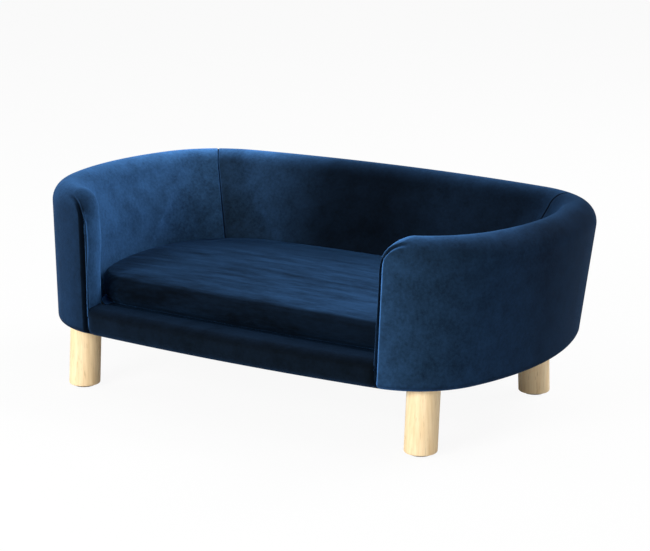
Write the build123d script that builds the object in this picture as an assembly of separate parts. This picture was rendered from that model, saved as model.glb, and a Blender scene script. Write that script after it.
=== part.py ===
from build123d import *
from math import acos, asin, atan2, cos, degrees, hypot, pi, radians, sin, sqrt, tan
import os

# Low sofa bed for a small dog: an upholstered shell wrapped round three sides, on four round legs.
# Millimetres. X runs along the sofa, the open front faces -Y, Z is up.
# The origin is on the floor, in the middle of the sofa's own bounding box.

# Overall sizes of the upholstered body
LENGTH = 703.0              # outside, over the rim
DEPTH = 439.0               # outside, from the foot of the front to the rim of the back
RIM_RADIUS = 26.0           # half the thickness of the wall at its round top edge
RIM_CENTRE_HEIGHT = 229.0   # from the floor to the middle of the round top edge, at the back
RIM_RISE = 7.7              # how much higher the rim stands over the front than over the back
LEG_HEIGHT = 82.0           # from the floor to the underside of the body
DECK_HEIGHT = 111.0         # from the floor to the deck that the cushion lies on

# How far the outside leans out from foot to rim
END_LEAN = 18.5
BACK_LEAN = 15.3
FRONT_LEAN = -2.7           # the front leans in a little

# Plan radii of the outside at the foot, then of the middle line of the rim
FOOT_FRONT_CORNER = 111.0
FOOT_REAR_CORNER = 117.0
FOOT_FRONT_BOW = 2820.0
FOOT_REAR_BOW = 2820.0
FOOT_END_BOW = 370.0
RIM_FRONT_CORNER = 129.0
RIM_REAR_CORNER = 107.0
RIM_FRONT_BOW = 3700.0
RIM_REAR_BOW = 1400.0
RIM_END_BOW = 339.0

# The well inside the wall narrows towards the deck
WELL_END_TAPER = 33.0
WELL_BACK_TAPER = 45.0
WELL_FRONT_TAPER = 7.5      # at the front the wall thins towards the deck instead
DECK_FRONT_CORNER = 60.0
DECK_REAR_CORNER = 150.0
DECK_FRONT_BOW = 8000.0
DECK_REAR_BOW = 6000.0
DECK_END_BOW = 300.0

# Front opening between the ends of the arms
OPENING_WIDTH = 431.0
OPENING_REACH = 105.0       # the opening's cut reaches this far back from the front
ARM_TOP_ROUND = 34.0        # the arm's top edge comes down to the opening on this radius
LEDGE_RISE = 4.5            # the padded ledge in front of the cushion stands above the deck
LEDGE_ROUND = 9.0           # soft front edge of the ledge
BOTTOM_ROUND = 9.0          # soft lower edge of the body

# Upholstery and frame, from the outside in
COVER = 1.5                 # velvet with its backing
OUTER_FOAM = 5.0
PANEL = 3.0                 # bent outer hardboard
POST_DEPTH = 22.0
INNER_PANEL = 2.5
END_FOAM = 8.0              # on the end of each arm
BOARD = 12.0                # plywood base
POST_WIDTH = 30.0
TOP_RAIL = 12.0
RIM_FOAM = 34.0             # from the top of the rail to the top of the rim
FRONT_RAIL_DEPTH = 25.0
LEDGE_FOAM = 4.0
UNDER_LIP = 34.0            # width of cover turned in under the board
DUST_COVER = 0.8
DUST_COVER_INSET = 10.0
SEAM_ANGLE = 55.0           # of the rear corner seams, from the end towards the back

# Legs and their fixings
LEG_DIAMETER = 40.0
LEG_SPACING_X = 504.0
FRONT_LEG_Y = -162.7
REAR_LEG_Y = 111.6
LEG_SPLAY = 4.3             # degrees, the feet stand apart from front to rear
LEG_ROUND = 2.0
GLIDE_DIAMETER = 26.0
GLIDE_THICKNESS = 2.5
GLIDE_PIN_DIAMETER = 4.0
GLIDE_PIN_LENGTH = 14.0
BOLT_DIAMETER = 8.0
BOLT_IN_LEG = 34.0
BOLT_PROUD = 0.3            # above the middle of the tee nut's flange
TEE_NUT_BARREL = 11.0
TEE_NUT_FLANGE = 20.0
TEE_NUT_SHEET = 1.6
SCREW_DIAMETER = 4.0
SCREW_HEAD_DIAMETER = 8.0
SCREW_HEAD_HEIGHT = 2.4
SCREW_IN_POST = 26.0
STAPLE_CROWN = 10.0
STAPLE_WIRE = 0.9
STAPLE_LEG = 8.0
STAPLE_EDGE = 5.0           # from the edge of the turned-in cover
STAPLE_COUNT = 24           # round the whole outline, less those that would fall on a leg

# Loose seat cushion
CUSHION_THICKNESS = 40.0    # at its edge
CUSHION_CROWN = 5.0
CUSHION_GAP = 2.2           # to the wall of the well
CUSHION_CORNER_EASE = 38.0  # its front corners are rounder by this than the well's, to lift out past the rim
CUSHION_TOP_ROUND = 13.0
CUSHION_BOTTOM_ROUND = 7.0
CUSHION_DRAW_IN = 2.0       # of the sides at the seams above and below their middle
CUSHION_COVER = 1.2
CUSHION_ROUND_SHARE = 0.3   # where each soft edge has its middle flat
CROWN_SHARES = ((0.72, 0.7), (0.36, 1.0))   # of the top's outline, and of the crown's height there

# Zip along the rear of the cushion's cover
ZIP_LENGTH = 300.0
ZIP_TAPE_HEIGHT = 15.0
ZIP_TAPE = 0.8
ZIP_COIL_HEIGHT = 4.0
ZIP_COIL = 1.6
ZIP_RECESS = 6.5            # depth of the recess at the ends of the zip
ZIP_HEIGHT = 17.0           # of the zip's middle above the deck
SLIDER_LENGTH = 13.0
SLIDER_HEIGHT = 8.0
SLIDER_WALL = 1.0
SLIDER_GAP = 0.25
STOP_LENGTH = 3.0

SEAT_GAP = 0.3              # between the cushion and what it rests on
OVERRUN = 400.0             # cutting shapes run this far past the work

# Places worked out from the sizes above
SHELL = COVER + OUTER_FOAM
CAVITY = SHELL + PANEL
CAVITY_END = CAVITY + POST_DEPTH
FRAME_END = CAVITY_END + INNER_PANEL
RIM_TOP = RIM_CENTRE_HEIGHT + RIM_RADIUS
ARM_TOP = RIM_TOP + RIM_RISE
LEDGE_HEIGHT = DECK_HEIGHT + LEDGE_RISE
RAIL_TOP = RIM_TOP - RIM_FOAM
RAIL_BOTTOM = RAIL_TOP - TOP_RAIL
BOARD_BOTTOM = LEG_HEIGHT + COVER
BOARD_TOP = BOARD_BOTTOM + BOARD
HALF_OPENING = OPENING_WIDTH / 2
POST_START = HALF_OPENING + COVER + END_FOAM


class Plan:
    """A rounded plan outline: four corner arcs joined by four shallow bows, all tangent."""

    def __init__(self, half_length, front, rear, front_corner, rear_corner, front_bow, rear_bow, end_bow):
        self.sizes = (half_length, front, rear, front_corner, rear_corner, front_bow, rear_bow, end_bow)

    def inset(self, by):
        """The outline moved inwards, square to itself."""
        half_length, front, rear, *radii = self.sizes
        return Plan(half_length - by, front + by, rear - by, *[radius - by for radius in radii])

    def blend(self, other, share):
        """The outline part of the way towards another."""
        return Plan(*[a + (b - a) * share for a, b in zip(self.sizes, other.sizes)])

    def scaled(self, share):
        """The outline made smaller about the middle of its own depth."""
        half_length, front, rear, *radii = self.sizes
        middle = (front + rear) / 2
        return Plan(half_length * share, middle + (front - middle) * share, middle + (rear - middle) * share,
                    *[radius * share for radius in radii])

    def corner(self, is_rear):
        """Centre of a right-hand corner arc, and the angles where it meets the long bow and the end bow."""
        half_length, front, rear, front_corner, rear_corner, front_bow, rear_bow, end_bow = self.sizes
        radius = rear_corner if is_rear else front_corner
        long_bow = rear_bow if is_rear else front_bow
        middle = (front + rear) / 2
        half_depth = (rear - front) / 2
        long_centre = Vector(0, half_depth - long_bow)
        end_centre = Vector(half_length - end_bow, 0)
        to_long = long_bow - radius
        to_end = end_bow - radius
        apart = (end_centre - long_centre).length
        along = (to_long ** 2 - to_end ** 2 + apart ** 2) / (2 * apart)
        aside = sqrt(to_long ** 2 - along ** 2)
        line = (end_centre - long_centre) / apart
        centre = long_centre + line * along + Vector(-line.Y, line.X) * -aside
        other = long_centre + line * along + Vector(-line.Y, line.X) * aside
        if other.X + other.Y > centre.X + centre.Y:
            centre = other
        at_long = atan2((centre - long_centre).Y, (centre - long_centre).X)
        at_end = atan2((centre - end_centre).Y, (centre - end_centre).X)
        flip = 1 if is_rear else -1
        return (Vector(centre.X, middle + flip * centre.Y), radius, flip * at_long, flip * at_end)

    def wire(self, z):
        """The closed outline at a height, as eight arcs that start beside the middle of the back."""
        half_length, front, rear, front_corner, rear_corner, front_bow, rear_bow, end_bow = self.sizes
        rear_centre, rear_radius, rear_long, rear_end = self.corner(True)
        front_centre, front_radius, front_long, front_end = self.corner(False)
        arcs = [
            (Vector(0, rear - rear_bow), rear_bow, pi - rear_long, rear_long),
            (rear_centre, rear_radius, rear_long, rear_end),
            (Vector(half_length - end_bow, (front + rear) / 2), end_bow, rear_end, front_end),
            (front_centre, front_radius, front_end, front_long),
            (Vector(0, front + front_bow), front_bow, front_long, -pi - front_long),
        ]
        arcs += [(Vector(-c.X, c.Y), r, pi - stop, pi - start) for c, r, start, stop in arcs[3:0:-1]]
        edges = []
        for centre, radius, start, stop in arcs:
            points = [centre + Vector(cos(a), sin(a)) * radius for a in (start, (start + stop) / 2, stop)]
            edges.append(ThreePointArc(*[(p.X, p.Y, z) for p in points]))
        return Wire(edges)


def outer_foot():
    half_length = LENGTH / 2 - END_LEAN
    rear = DEPTH / 2 - BACK_LEAN
    return Plan(half_length, -DEPTH / 2, rear, FOOT_FRONT_CORNER, FOOT_REAR_CORNER,
                FOOT_FRONT_BOW, FOOT_REAR_BOW, FOOT_END_BOW)


def rim_line():
    half_length = LENGTH / 2 - RIM_RADIUS
    front = -DEPTH / 2 - FRONT_LEAN + RIM_RADIUS
    rear = DEPTH / 2 - RIM_RADIUS
    return Plan(half_length, front, rear, RIM_FRONT_CORNER, RIM_REAR_CORNER,
                RIM_FRONT_BOW, RIM_REAR_BOW, RIM_END_BOW)


def well_deck():
    half_length, front, rear, *_ = rim_line().inset(RIM_RADIUS).sizes
    return Plan(half_length - WELL_END_TAPER, front - WELL_FRONT_TAPER, rear - WELL_BACK_TAPER,
                DECK_FRONT_CORNER, DECK_REAR_CORNER, DECK_FRONT_BOW, DECK_REAR_BOW, DECK_END_BOW)


def sloped(shape):
    """A shape drawn level at the rim's height, turned about the back of the rim so that its front rises."""
    _, front, rear, *_ = rim_line().sizes
    angle = degrees(atan2(RIM_RISE, rear - front))
    pivot = Pos(0, rear, RIM_CENTRE_HEIGHT)
    return pivot * Rot(-angle, 0, 0) * pivot.inverse() * shape


def through(levels, top=None):
    """A solid through (outline, height) pairs, straight from each to the next, and last to a sloped rim outline."""
    wires = [plan.wire(z) for plan, z in levels]
    if top:
        wires.append(sloped(top.wire(RIM_CENTRE_HEIGHT)))
    return Solid.make_loft(wires, True)


def slab(low, high):
    """Everything between two heights."""
    return Pos(0, 0, (low + high) / 2) * Box(OVERRUN * 2, OVERRUN * 2, high - low)


def span(x_low, x_high, y_low, y_high, z_low=-OVERRUN, z_high=OVERRUN):
    """A box from its lowest to its highest corner."""
    middle = Pos((x_low + x_high) / 2, (y_low + y_high) / 2, (z_low + z_high) / 2)
    return middle * Box(x_high - x_low, y_high - y_low, z_high - z_low)


def column(plan, low, high):
    """A plan outline carried straight up."""
    return through([(plan, low), (plan, high)])


def outside(z):
    """Outline of the body's outside at a height."""
    share = (z - LEG_HEIGHT) / (RIM_CENTRE_HEIGHT - LEG_HEIGHT)
    return outer_foot().blend(rim_line().inset(-RIM_RADIUS), share)


def block(inset, low, high):
    """The outside moved in, with a plain edge, between two heights: frame pieces are cut from it."""
    return through([(outside(LEG_HEIGHT).inset(inset), LEG_HEIGHT),
                    (outside(RIM_CENTRE_HEIGHT).inset(inset), RIM_CENTRE_HEIGHT)]) & slab(low, high)


def body(inset):
    """The outside up to the middle of the rim, with its soft lower edge in three flats."""
    radius = BOTTOM_ROUND - inset
    levels = []
    for angle in (0, pi / 6, pi / 3, pi / 2):
        z = LEG_HEIGHT + inset + radius * (1 - cos(angle))
        levels.append((outside(z).inset(inset + radius * (1 - sin(angle))), z))
    return through(levels, outside(RIM_CENTRE_HEIGHT).inset(inset))


def well(inset):
    """The hollow above the deck, its walls moved out by an inset of the upholstery."""
    return through([(well_deck().inset(-inset), DECK_HEIGHT - inset)], rim_line().inset(RIM_RADIUS - inset))


def rim(radius):
    """The round top edge: half a disc carried along the middle line of the wall."""
    path = rim_line().wire(RIM_CENTRE_HEIGHT)
    along = path.tangent_at(0)
    section = Plane(origin=path.position_at(0), x_dir=along.cross(Vector(0, 0, 1)), z_dir=along)
    half_disc = section * (Circle(radius) & Pos(0, -radius) * Rectangle(2 * radius, 2 * radius))
    return sloped(sweep(half_disc, path=path))


def front_opening(inset):
    """The gap between the arms, with the arms' top edges rounded down to it."""
    half = HALF_OPENING + inset
    shoulder = HALF_OPENING + ARM_TOP_ROUND
    shoulder_z = ARM_TOP - ARM_TOP_ROUND
    radius = ARM_TOP_ROUND - inset
    floor = LEDGE_HEIGHT - inset
    top = shoulder_z + radius
    slant = radius * sqrt(0.5)
    outline = [
        Polyline((-half, shoulder_z), (-half, floor), (half, floor), (half, shoulder_z)),
        ThreePointArc((half, shoulder_z), (shoulder - slant, shoulder_z + slant), (shoulder, top)),
        Polyline((shoulder, top), (shoulder, OVERRUN), (-shoulder, OVERRUN), (-shoulder, top)),
        ThreePointArc((-shoulder, top), (slant - shoulder, shoulder_z + slant), (-half, shoulder_z)),
    ]
    return extrude(Plane.XZ.offset(DEPTH / 2 - OPENING_REACH) * make_face(outline), OVERRUN)


def envelope(inset):
    """The whole upholstered body with every face moved in."""
    solid = body(inset) - well(inset) + rim(RIM_RADIUS - inset) - front_opening(inset)
    ledge = solid.edges().filter_by(lambda e: abs(e.center().Z - LEDGE_HEIGHT + inset) < COVER / 2
                                    and e.center().Y < -DEPTH / 2 + RIM_RADIUS / 2
                                    and e.length > HALF_OPENING)
    return fillet(ledge, LEDGE_ROUND - inset)


def seam_zones():
    """Plan zones of the left arm, the back and the right arm, parted at the rear corner seams."""
    centre = rim_line().corner(True)[0]
    away = Vector(cos(radians(SEAM_ANGLE)), sin(radians(SEAM_ANGLE))) * OVERRUN
    tip = centre + away
    right = [(0, -OVERRUN), (OVERRUN, -OVERRUN), (OVERRUN, tip.Y), (tip.X, tip.Y), (centre.X, centre.Y), (0, centre.Y)]
    left = [(-x, y) for x, y in right]
    back = [(centre.X, centre.Y), (tip.X, tip.Y), (tip.X, OVERRUN), (-tip.X, OVERRUN), (-tip.X, tip.Y),
            (-centre.X, centre.Y)]
    zones = {}
    for name, points in (("left", left), ("back", back), ("right", right)):
        edges = [Line(a, b) for a, b in zip(points, points[1:] + points[:1])]
        zones[name] = extrude(make_face(edges), OVERRUN)
    return zones


def base_board():
    """Plywood board that carries everything."""
    return block(CAVITY, BOARD_BOTTOM, BOARD_TOP)


def arm_gap():
    """The width of the front between the frames of the two arms."""
    return span(-POST_START, POST_START, -OVERRUN, 0)


def outer_panel():
    """Hardboard bent round the outside of the frame, open at the front."""
    low = LEG_HEIGHT + BOTTOM_ROUND
    return block(SHELL, low, RAIL_TOP) - block(CAVITY, low, RAIL_TOP) - arm_gap()


def cavity(low, high):
    """The hollow ring behind the outer panel, open at the front, that holds posts and rails."""
    return block(CAVITY, low, high) - block(CAVITY_END, low, high) - arm_gap()


def inner_panel():
    """Thin board on the inner side of the posts."""
    ring = block(CAVITY_END, BOARD_TOP, RAIL_TOP) - block(FRAME_END, BOARD_TOP, RAIL_TOP)
    return ring - arm_gap()


def posts():
    """Upright posts between the board and the top rails, by name."""
    ring = cavity(BOARD_TOP, RAIL_BOTTOM)
    half = POST_WIDTH / 2
    corner = rim_line().corner(True)[0]
    turned = Pos(corner.X, corner.Y) * Rot(0, 0, SEAM_ANGLE) * span(0, OVERRUN, -half, half)
    places = {
        "arm_post": span(POST_START, POST_START + POST_WIDTH, -OVERRUN, 0),
        "side_post": span(0, OVERRUN, -half, half),
        "corner_post": turned,
    }
    found = {"back_post": ring & span(-half, half, 0, OVERRUN)}
    for name, place in places.items():
        found[name + "_right"] = ring & place
        found[name + "_left"] = ring & mirror(place, Plane.YZ)
    return found


def front_rail():
    """Batten along the front edge of the board, between the arm posts."""
    high = LEDGE_HEIGHT - COVER - LEDGE_FOAM
    ring = block(CAVITY, BOARD_TOP, high) - block(CAVITY + FRONT_RAIL_DEPTH, BOARD_TOP, high)
    return ring & arm_gap()


def screw(place, going, length):
    """Countersunk wood screw, its head flush at a place, going up or down."""
    align = (Align.CENTER, Align.CENTER, Align.MIN)
    head = Cone(SCREW_HEAD_DIAMETER / 2, SCREW_DIAMETER / 2, SCREW_HEAD_HEIGHT, align=align)
    shank = Cylinder(SCREW_DIAMETER / 2, length, align=align)
    turn = Rot() if going > 0 else Rot(180, 0, 0)
    return Pos(*place) * turn * (head + shank)


def post_screws(uprights):
    """One screw up through the board and one down through the rail into each post."""
    base = []
    rail = []
    for post in uprights.values():
        ends = post.faces().sort_by(Axis.Z)
        low = ends[0].center()
        high = ends[-1].center()
        base.append(screw((low.X, low.Y, BOARD_BOTTOM), 1, BOARD + SCREW_IN_POST))
        rail.append(screw((high.X, high.Y, RAIL_TOP), -1, TOP_RAIL + SCREW_IN_POST))
    return base, rail


def leg_places():
    """Each leg's name, the middle of its top, and which way its foot goes."""
    half = LEG_SPACING_X / 2
    return [
        ("front_left", -half, FRONT_LEG_Y, -1),
        ("front_right", half, FRONT_LEG_Y, -1),
        ("rear_left", -half, REAR_LEG_Y, 1),
        ("rear_right", half, REAR_LEG_Y, 1),
    ]


def along_leg(x, y, way):
    """A plane at the top of a leg, looking up along its splayed axis."""
    return Plane(origin=(x, y, BOARD_BOTTOM), z_dir=(0, -way * tan(radians(LEG_SPLAY)), 1))


def rod(plane, radius, start, stop):
    """A round bar along a plane's normal between two distances."""
    bar = Cylinder(radius, stop - start, align=(Align.CENTER, Align.CENTER, Align.MIN))
    return plane * Pos(0, 0, start) * bar


def leg(x, y, way):
    """Round wooden leg, sawn level at both ends, with a small rounded foot."""
    bar = rod(along_leg(x, y, way), LEG_DIAMETER / 2, -OVERRUN / 2, OVERRUN / 2) & slab(GLIDE_THICKNESS, BOARD_BOTTOM)
    foot = bar.edges().sort_by(Axis.Z)[0]
    return fillet(foot, LEG_ROUND)


def foot_glide(x, y, way):
    """Black glide under the leg, with its pin."""
    foot_y = y + way * tan(radians(LEG_SPLAY)) * (BOARD_BOTTOM - GLIDE_THICKNESS)
    align = (Align.CENTER, Align.CENTER, Align.MIN)
    disc = Cylinder(GLIDE_DIAMETER / 2, GLIDE_THICKNESS, align=align)
    pin = Cylinder(GLIDE_PIN_DIAMETER / 2, GLIDE_THICKNESS + GLIDE_PIN_LENGTH, align=align)
    return Pos(x, foot_y) * (disc + pin)


def hanger_bolt(x, y, way):
    """Bolt that stands out of the leg and goes up through the tee nut."""
    top = BOARD - TEE_NUT_SHEET / 2 + BOLT_PROUD
    return rod(along_leg(x, y, way), BOLT_DIAMETER / 2, -BOLT_IN_LEG, top)


def tee_nut(x, y, way):
    """Tee nut let into the top of the board, square to the leg."""
    plane = along_leg(x, y, way)
    seat = BOARD - TEE_NUT_SHEET * 2
    flange = rod(plane, TEE_NUT_FLANGE / 2, seat, seat + TEE_NUT_SHEET)
    barrel = rod(plane, TEE_NUT_BARREL / 2, BOARD / 4, seat + TEE_NUT_SHEET)
    return flange + barrel - rod(plane, BOLT_DIAMETER / 2, 0, BOARD)


def tee_nut_bore(x, y, way):
    """Hole in the board for the tee nut and its bolt."""
    plane = along_leg(x, y, way)
    counterbore = rod(plane, TEE_NUT_FLANGE / 2, BOARD - TEE_NUT_SHEET * 2, BOARD * 2)
    hole = rod(plane, TEE_NUT_BARREL / 2, BOARD / 4, BOARD)
    return counterbore + hole + rod(plane, BOLT_DIAMETER / 2, -BOARD, BOARD)


def staples():
    """Staples through the dust cover and the turned-in cover into the board."""
    path = outer_foot().inset(UNDER_LIP - STAPLE_EDGE).wire(LEG_HEIGHT - DUST_COVER)
    wire = STAPLE_WIRE
    crown = Box(STAPLE_CROWN, wire, wire, align=(Align.CENTER, Align.CENTER, Align.MAX))
    prong = Box(wire, wire, STAPLE_LEG, align=(Align.CENTER, Align.CENTER, Align.MIN))
    reach = (STAPLE_CROWN - wire) / 2
    one = crown + Pos(-reach, 0, 0) * prong + Pos(reach, 0, 0) * prong
    found = []
    for number in range(STAPLE_COUNT):
        share = (number + 0.5) / STAPLE_COUNT
        place = path.position_at(share)
        off_leg = min(hypot(place.X - x, place.Y - y) for _, x, y, _ in leg_places())
        if off_leg < LEG_DIAMETER / 2 + STAPLE_CROWN:
            continue
        along = path.tangent_at(share)
        found.append(Pos(place.X, place.Y, place.Z) * Rot(0, 0, degrees(atan2(along.Y, along.X))) * one)
    return found


def cushion_plan(z):
    """Outline of the cushion at a height: it follows the wall of the well with a small gap."""
    share = (z - DECK_HEIGHT) / (RIM_CENTRE_HEIGHT + RIM_RISE - DECK_HEIGHT)
    well = well_deck().blend(rim_line().inset(RIM_RADIUS), share)
    half_length, front, rear, front_corner, *others = well.inset(CUSHION_GAP).sizes
    return Plan(half_length, front, rear, front_corner + CUSHION_CORNER_EASE, *others)


def zip_floor():
    """Where the recess for the zip ends inside the cushion: the back bows, the zip is straight."""
    _, _, rear, _, _, _, bow, _ = cushion_plan(DECK_HEIGHT + ZIP_HEIGHT).sizes
    bow_drop = bow - sqrt(bow ** 2 - (ZIP_LENGTH / 2) ** 2)
    return rear - bow_drop - ZIP_RECESS


def cushion(inset):
    """Box cushion: flat below, soft edges, sides drawn in at the seams, and a low crown."""
    low = DECK_HEIGHT + SEAT_GAP + inset
    high = DECK_HEIGHT + SEAT_GAP + CUSHION_THICKNESS - inset
    top_round = CUSHION_TOP_ROUND - inset
    bottom_round = CUSHION_BOTTOM_ROUND - inset
    levels = [
        (low, CUSHION_DRAW_IN + bottom_round),
        (low + bottom_round * CUSHION_ROUND_SHARE, CUSHION_DRAW_IN + bottom_round * CUSHION_ROUND_SHARE),
        (low + bottom_round, CUSHION_DRAW_IN),
        ((low + high - top_round + bottom_round) / 2, 0),
        (high - top_round, CUSHION_DRAW_IN),
        (high - top_round * CUSHION_ROUND_SHARE, CUSHION_DRAW_IN + top_round * CUSHION_ROUND_SHARE),
        (high, CUSHION_DRAW_IN + top_round),
    ]
    outlines = [(cushion_plan(z).inset(inset + by), z) for z, by in levels]
    crown_plan = cushion_plan(high).inset(inset + top_round)
    for plan_share, height_share in CROWN_SHARES:
        outlines.append((crown_plan.scaled(plan_share), high + CUSHION_CROWN * height_share))
    solid = through(outlines)
    half = ZIP_LENGTH / 2 + STOP_LENGTH
    half_height = ZIP_TAPE_HEIGHT / 2 + SLIDER_GAP
    middle = DECK_HEIGHT + ZIP_HEIGHT
    recess = span(-half - inset, half + inset, zip_floor() - inset, OVERRUN,
                  middle - half_height - inset, middle + half_height + inset)
    return solid - recess


def zip_parts():
    """Tape, coil, end stops and slider of the zip, on the floor of its recess."""
    half = ZIP_LENGTH / 2
    floor = zip_floor()
    middle = DECK_HEIGHT + ZIP_HEIGHT
    face = floor + ZIP_TAPE
    coil_half = ZIP_COIL_HEIGHT / 2
    tape = span(-half, half, floor, face, middle - ZIP_TAPE_HEIGHT / 2, middle + ZIP_TAPE_HEIGHT / 2)
    end = half - STOP_LENGTH
    coil = span(-end, end, face, face + ZIP_COIL, middle - coil_half, middle + coil_half)
    stops = [span(x, x + STOP_LENGTH, face, face + ZIP_COIL, middle - coil_half, middle + coil_half)
             for x in (-half, half - STOP_LENGTH)]
    outer_half = SLIDER_HEIGHT / 2
    inner_half = coil_half + SLIDER_GAP
    start = SLIDER_GAP - end
    slider_face = face + ZIP_COIL + SLIDER_GAP
    slider = span(start, start + SLIDER_LENGTH, face + SLIDER_GAP, slider_face + SLIDER_WALL,
                  middle - outer_half, middle + outer_half)
    slider -= span(-OVERRUN, OVERRUN, 0, slider_face, middle - inner_half, middle + inner_half)
    return tape, coil, stops, slider


def joined(solids):
    """Separate solids kept apart in one group."""
    return Compound([part for solid in solids for part in solid.solids()])


def without(solid, cutters):
    """A solid with each cutter taken away in turn."""
    for cutter in cutters:
        solid = solid - cutter
    return solid


def build():
    """Every node of the sofa by name."""
    nodes = {}
    zones = seam_zones()
    places = leg_places()
    names = [name for name, *_ in places]
    spots = [rest for _, *rest in places]

    legs = [leg(*spot) for spot in spots]
    glides = [foot_glide(*spot) for spot in spots]
    bolts = [hanger_bolt(*spot) for spot in spots]
    nuts = [tee_nut(*spot) for spot in spots]
    uprights = posts()
    base_screws, rail_screws = post_screws(uprights)
    clips = staples()

    for name, one, glide, bolt in zip(names, legs, glides, bolts):
        nodes["leg_" + name] = one - glide - bolt
        nodes["foot_glide_" + name] = glide
    nodes["hanger_bolts"] = joined(bolts)
    nodes["tee_nuts"] = joined(nuts)

    bores = [tee_nut_bore(*spot) for spot in spots]
    nodes["base_board"] = without(base_board(), bores + base_screws + clips)
    rail = front_rail()
    nodes["front_rail"] = without(rail, bores)
    for name, post in uprights.items():
        nodes[name] = without(post, base_screws + rail_screws + bores)
    nodes["base_screws"] = joined(base_screws)
    nodes["rail_screws"] = joined(rail_screws)
    top = cavity(RAIL_BOTTOM, RAIL_TOP)
    panel = outer_panel()
    lining = inner_panel()
    nodes["outer_panel"] = panel
    for side, zone in zones.items():
        nodes["top_rail_" + side] = without(top & zone, rail_screws)
        nodes["inner_panel_" + side] = lining & zone

    inside = envelope(COVER)
    hollow = cavity(BOARD_TOP, RAIL_TOP) + lining
    foam = without(inside, [panel, hollow, base_board(), rail] + bolts)
    under_deck = column(well_deck(), 0, DECK_HEIGHT)
    below_ledge = span(-POST_START, POST_START, -OVERRUN, 0, 0, LEDGE_HEIGHT)
    nodes["deck_foam"] = foam & under_deck
    rest = foam - under_deck
    nodes["front_foam"] = rest & below_ledge
    rest = rest - below_ledge
    for side, zone in zones.items():
        nodes["wall_foam_" + side] = rest & zone

    skin = envelope(0) - inside
    skin = skin - column(outer_foot().inset(UNDER_LIP), 0, BOARD_BOTTOM)
    skin = without(skin, clips + legs)
    deck = column(well_deck(), DECK_HEIGHT - COVER, DECK_HEIGHT)
    nodes["deck_cloth"] = skin & deck
    skin = skin - deck
    ends = {
        "left": span(-HALF_OPENING - COVER, -HALF_OPENING, -OVERRUN, 0, LEDGE_HEIGHT, ARM_TOP - ARM_TOP_ROUND),
        "right": span(HALF_OPENING, HALF_OPENING + COVER, -OVERRUN, 0, LEDGE_HEIGHT, ARM_TOP - ARM_TOP_ROUND),
    }
    for side, end in ends.items():
        nodes["arm_facing_" + side] = skin & end
    skin = without(skin, ends.values())
    apron = span(-HALF_OPENING, HALF_OPENING, -OVERRUN, 0, 0, LEDGE_HEIGHT)
    nodes["front_cover"] = skin & apron
    skin = skin - apron
    for side, zone in zones.items():
        nodes["wall_cover_" + side] = skin & zone

    dust = column(outer_foot().inset(DUST_COVER_INSET), LEG_HEIGHT - DUST_COVER, LEG_HEIGHT)
    nodes["dust_cover"] = without(dust, legs + clips)
    nodes["staples"] = joined(clips)

    filling = cushion(CUSHION_COVER)
    nodes["cushion_foam"] = filling
    nodes["cushion_cover"] = cushion(0) - filling
    tape, coil, stops, slider = zip_parts()
    nodes["zip_tape"] = tape
    nodes["zip_coil"] = coil
    nodes["zip_stops"] = joined(stops)
    nodes["zip_slider"] = slider
    return nodes


def main():
    os.makedirs("parts", exist_ok=True)
    for name, shape in build().items():
        export_step(shape, "parts/" + name + ".step")
        print(name, len(shape.solids()), round(shape.volume))


main()
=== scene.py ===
# %% [markdown]
# # A low sofa bed for a small dog
#
# A velvet wall wraps round three sides of a low bed, a loose box cushion lies in the well that it makes,
# and four pale round legs hold it off the floor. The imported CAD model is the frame: its boards, posts,
# screws and legs stay, with better finishes. Everything soft is worked out again here as surfaces,
# because cloth over foam has rounded edges, drawn seams and a nap that plain solids don't have.

# %% Load the frame
import math

import bmesh
import bpy
import numpy as np
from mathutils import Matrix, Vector


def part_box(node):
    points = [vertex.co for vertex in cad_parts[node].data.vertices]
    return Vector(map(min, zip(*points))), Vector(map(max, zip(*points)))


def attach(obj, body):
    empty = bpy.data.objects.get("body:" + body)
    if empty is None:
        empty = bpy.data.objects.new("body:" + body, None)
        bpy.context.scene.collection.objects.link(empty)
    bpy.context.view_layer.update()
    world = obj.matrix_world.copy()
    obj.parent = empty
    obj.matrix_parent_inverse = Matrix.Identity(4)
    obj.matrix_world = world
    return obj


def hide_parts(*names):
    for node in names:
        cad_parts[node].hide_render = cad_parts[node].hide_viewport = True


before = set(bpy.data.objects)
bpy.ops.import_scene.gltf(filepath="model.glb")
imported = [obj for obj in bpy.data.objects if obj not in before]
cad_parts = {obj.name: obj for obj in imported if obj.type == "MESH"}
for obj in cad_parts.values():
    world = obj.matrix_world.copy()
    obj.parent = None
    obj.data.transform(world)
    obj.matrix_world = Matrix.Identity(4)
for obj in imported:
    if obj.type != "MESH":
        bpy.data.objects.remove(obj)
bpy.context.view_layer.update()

# %% [markdown]
# ## The plan of the wall
#
# The wall follows a rounded outline in plan: a shallow bow for the back, another for the front, one for
# each end, and a rounder arc at each corner, all tangent. It could be a bezier curve with handles set by
# hand. Arcs are used instead, because an upholsterer's template is drawn with them and a few radii say
# the whole shape. There are three such outlines: the foot of the outside, the middle of the round top
# edge, and the foot of the inside at the deck.

# %% Sizes of the outlines, in millimetres
MM = 0.001
LEG_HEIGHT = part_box("base_board")[0].z / MM - 1.5       # the cover is 1.5 mm thick under the board
DECK_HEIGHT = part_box("deck_cloth")[1].z / MM
RIM_RADIUS = 26.0
RIM_BACK_HEIGHT = 229.0
RIM_SLOPE = 0.02            # the rim rises this much for each millimetre towards the front


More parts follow.
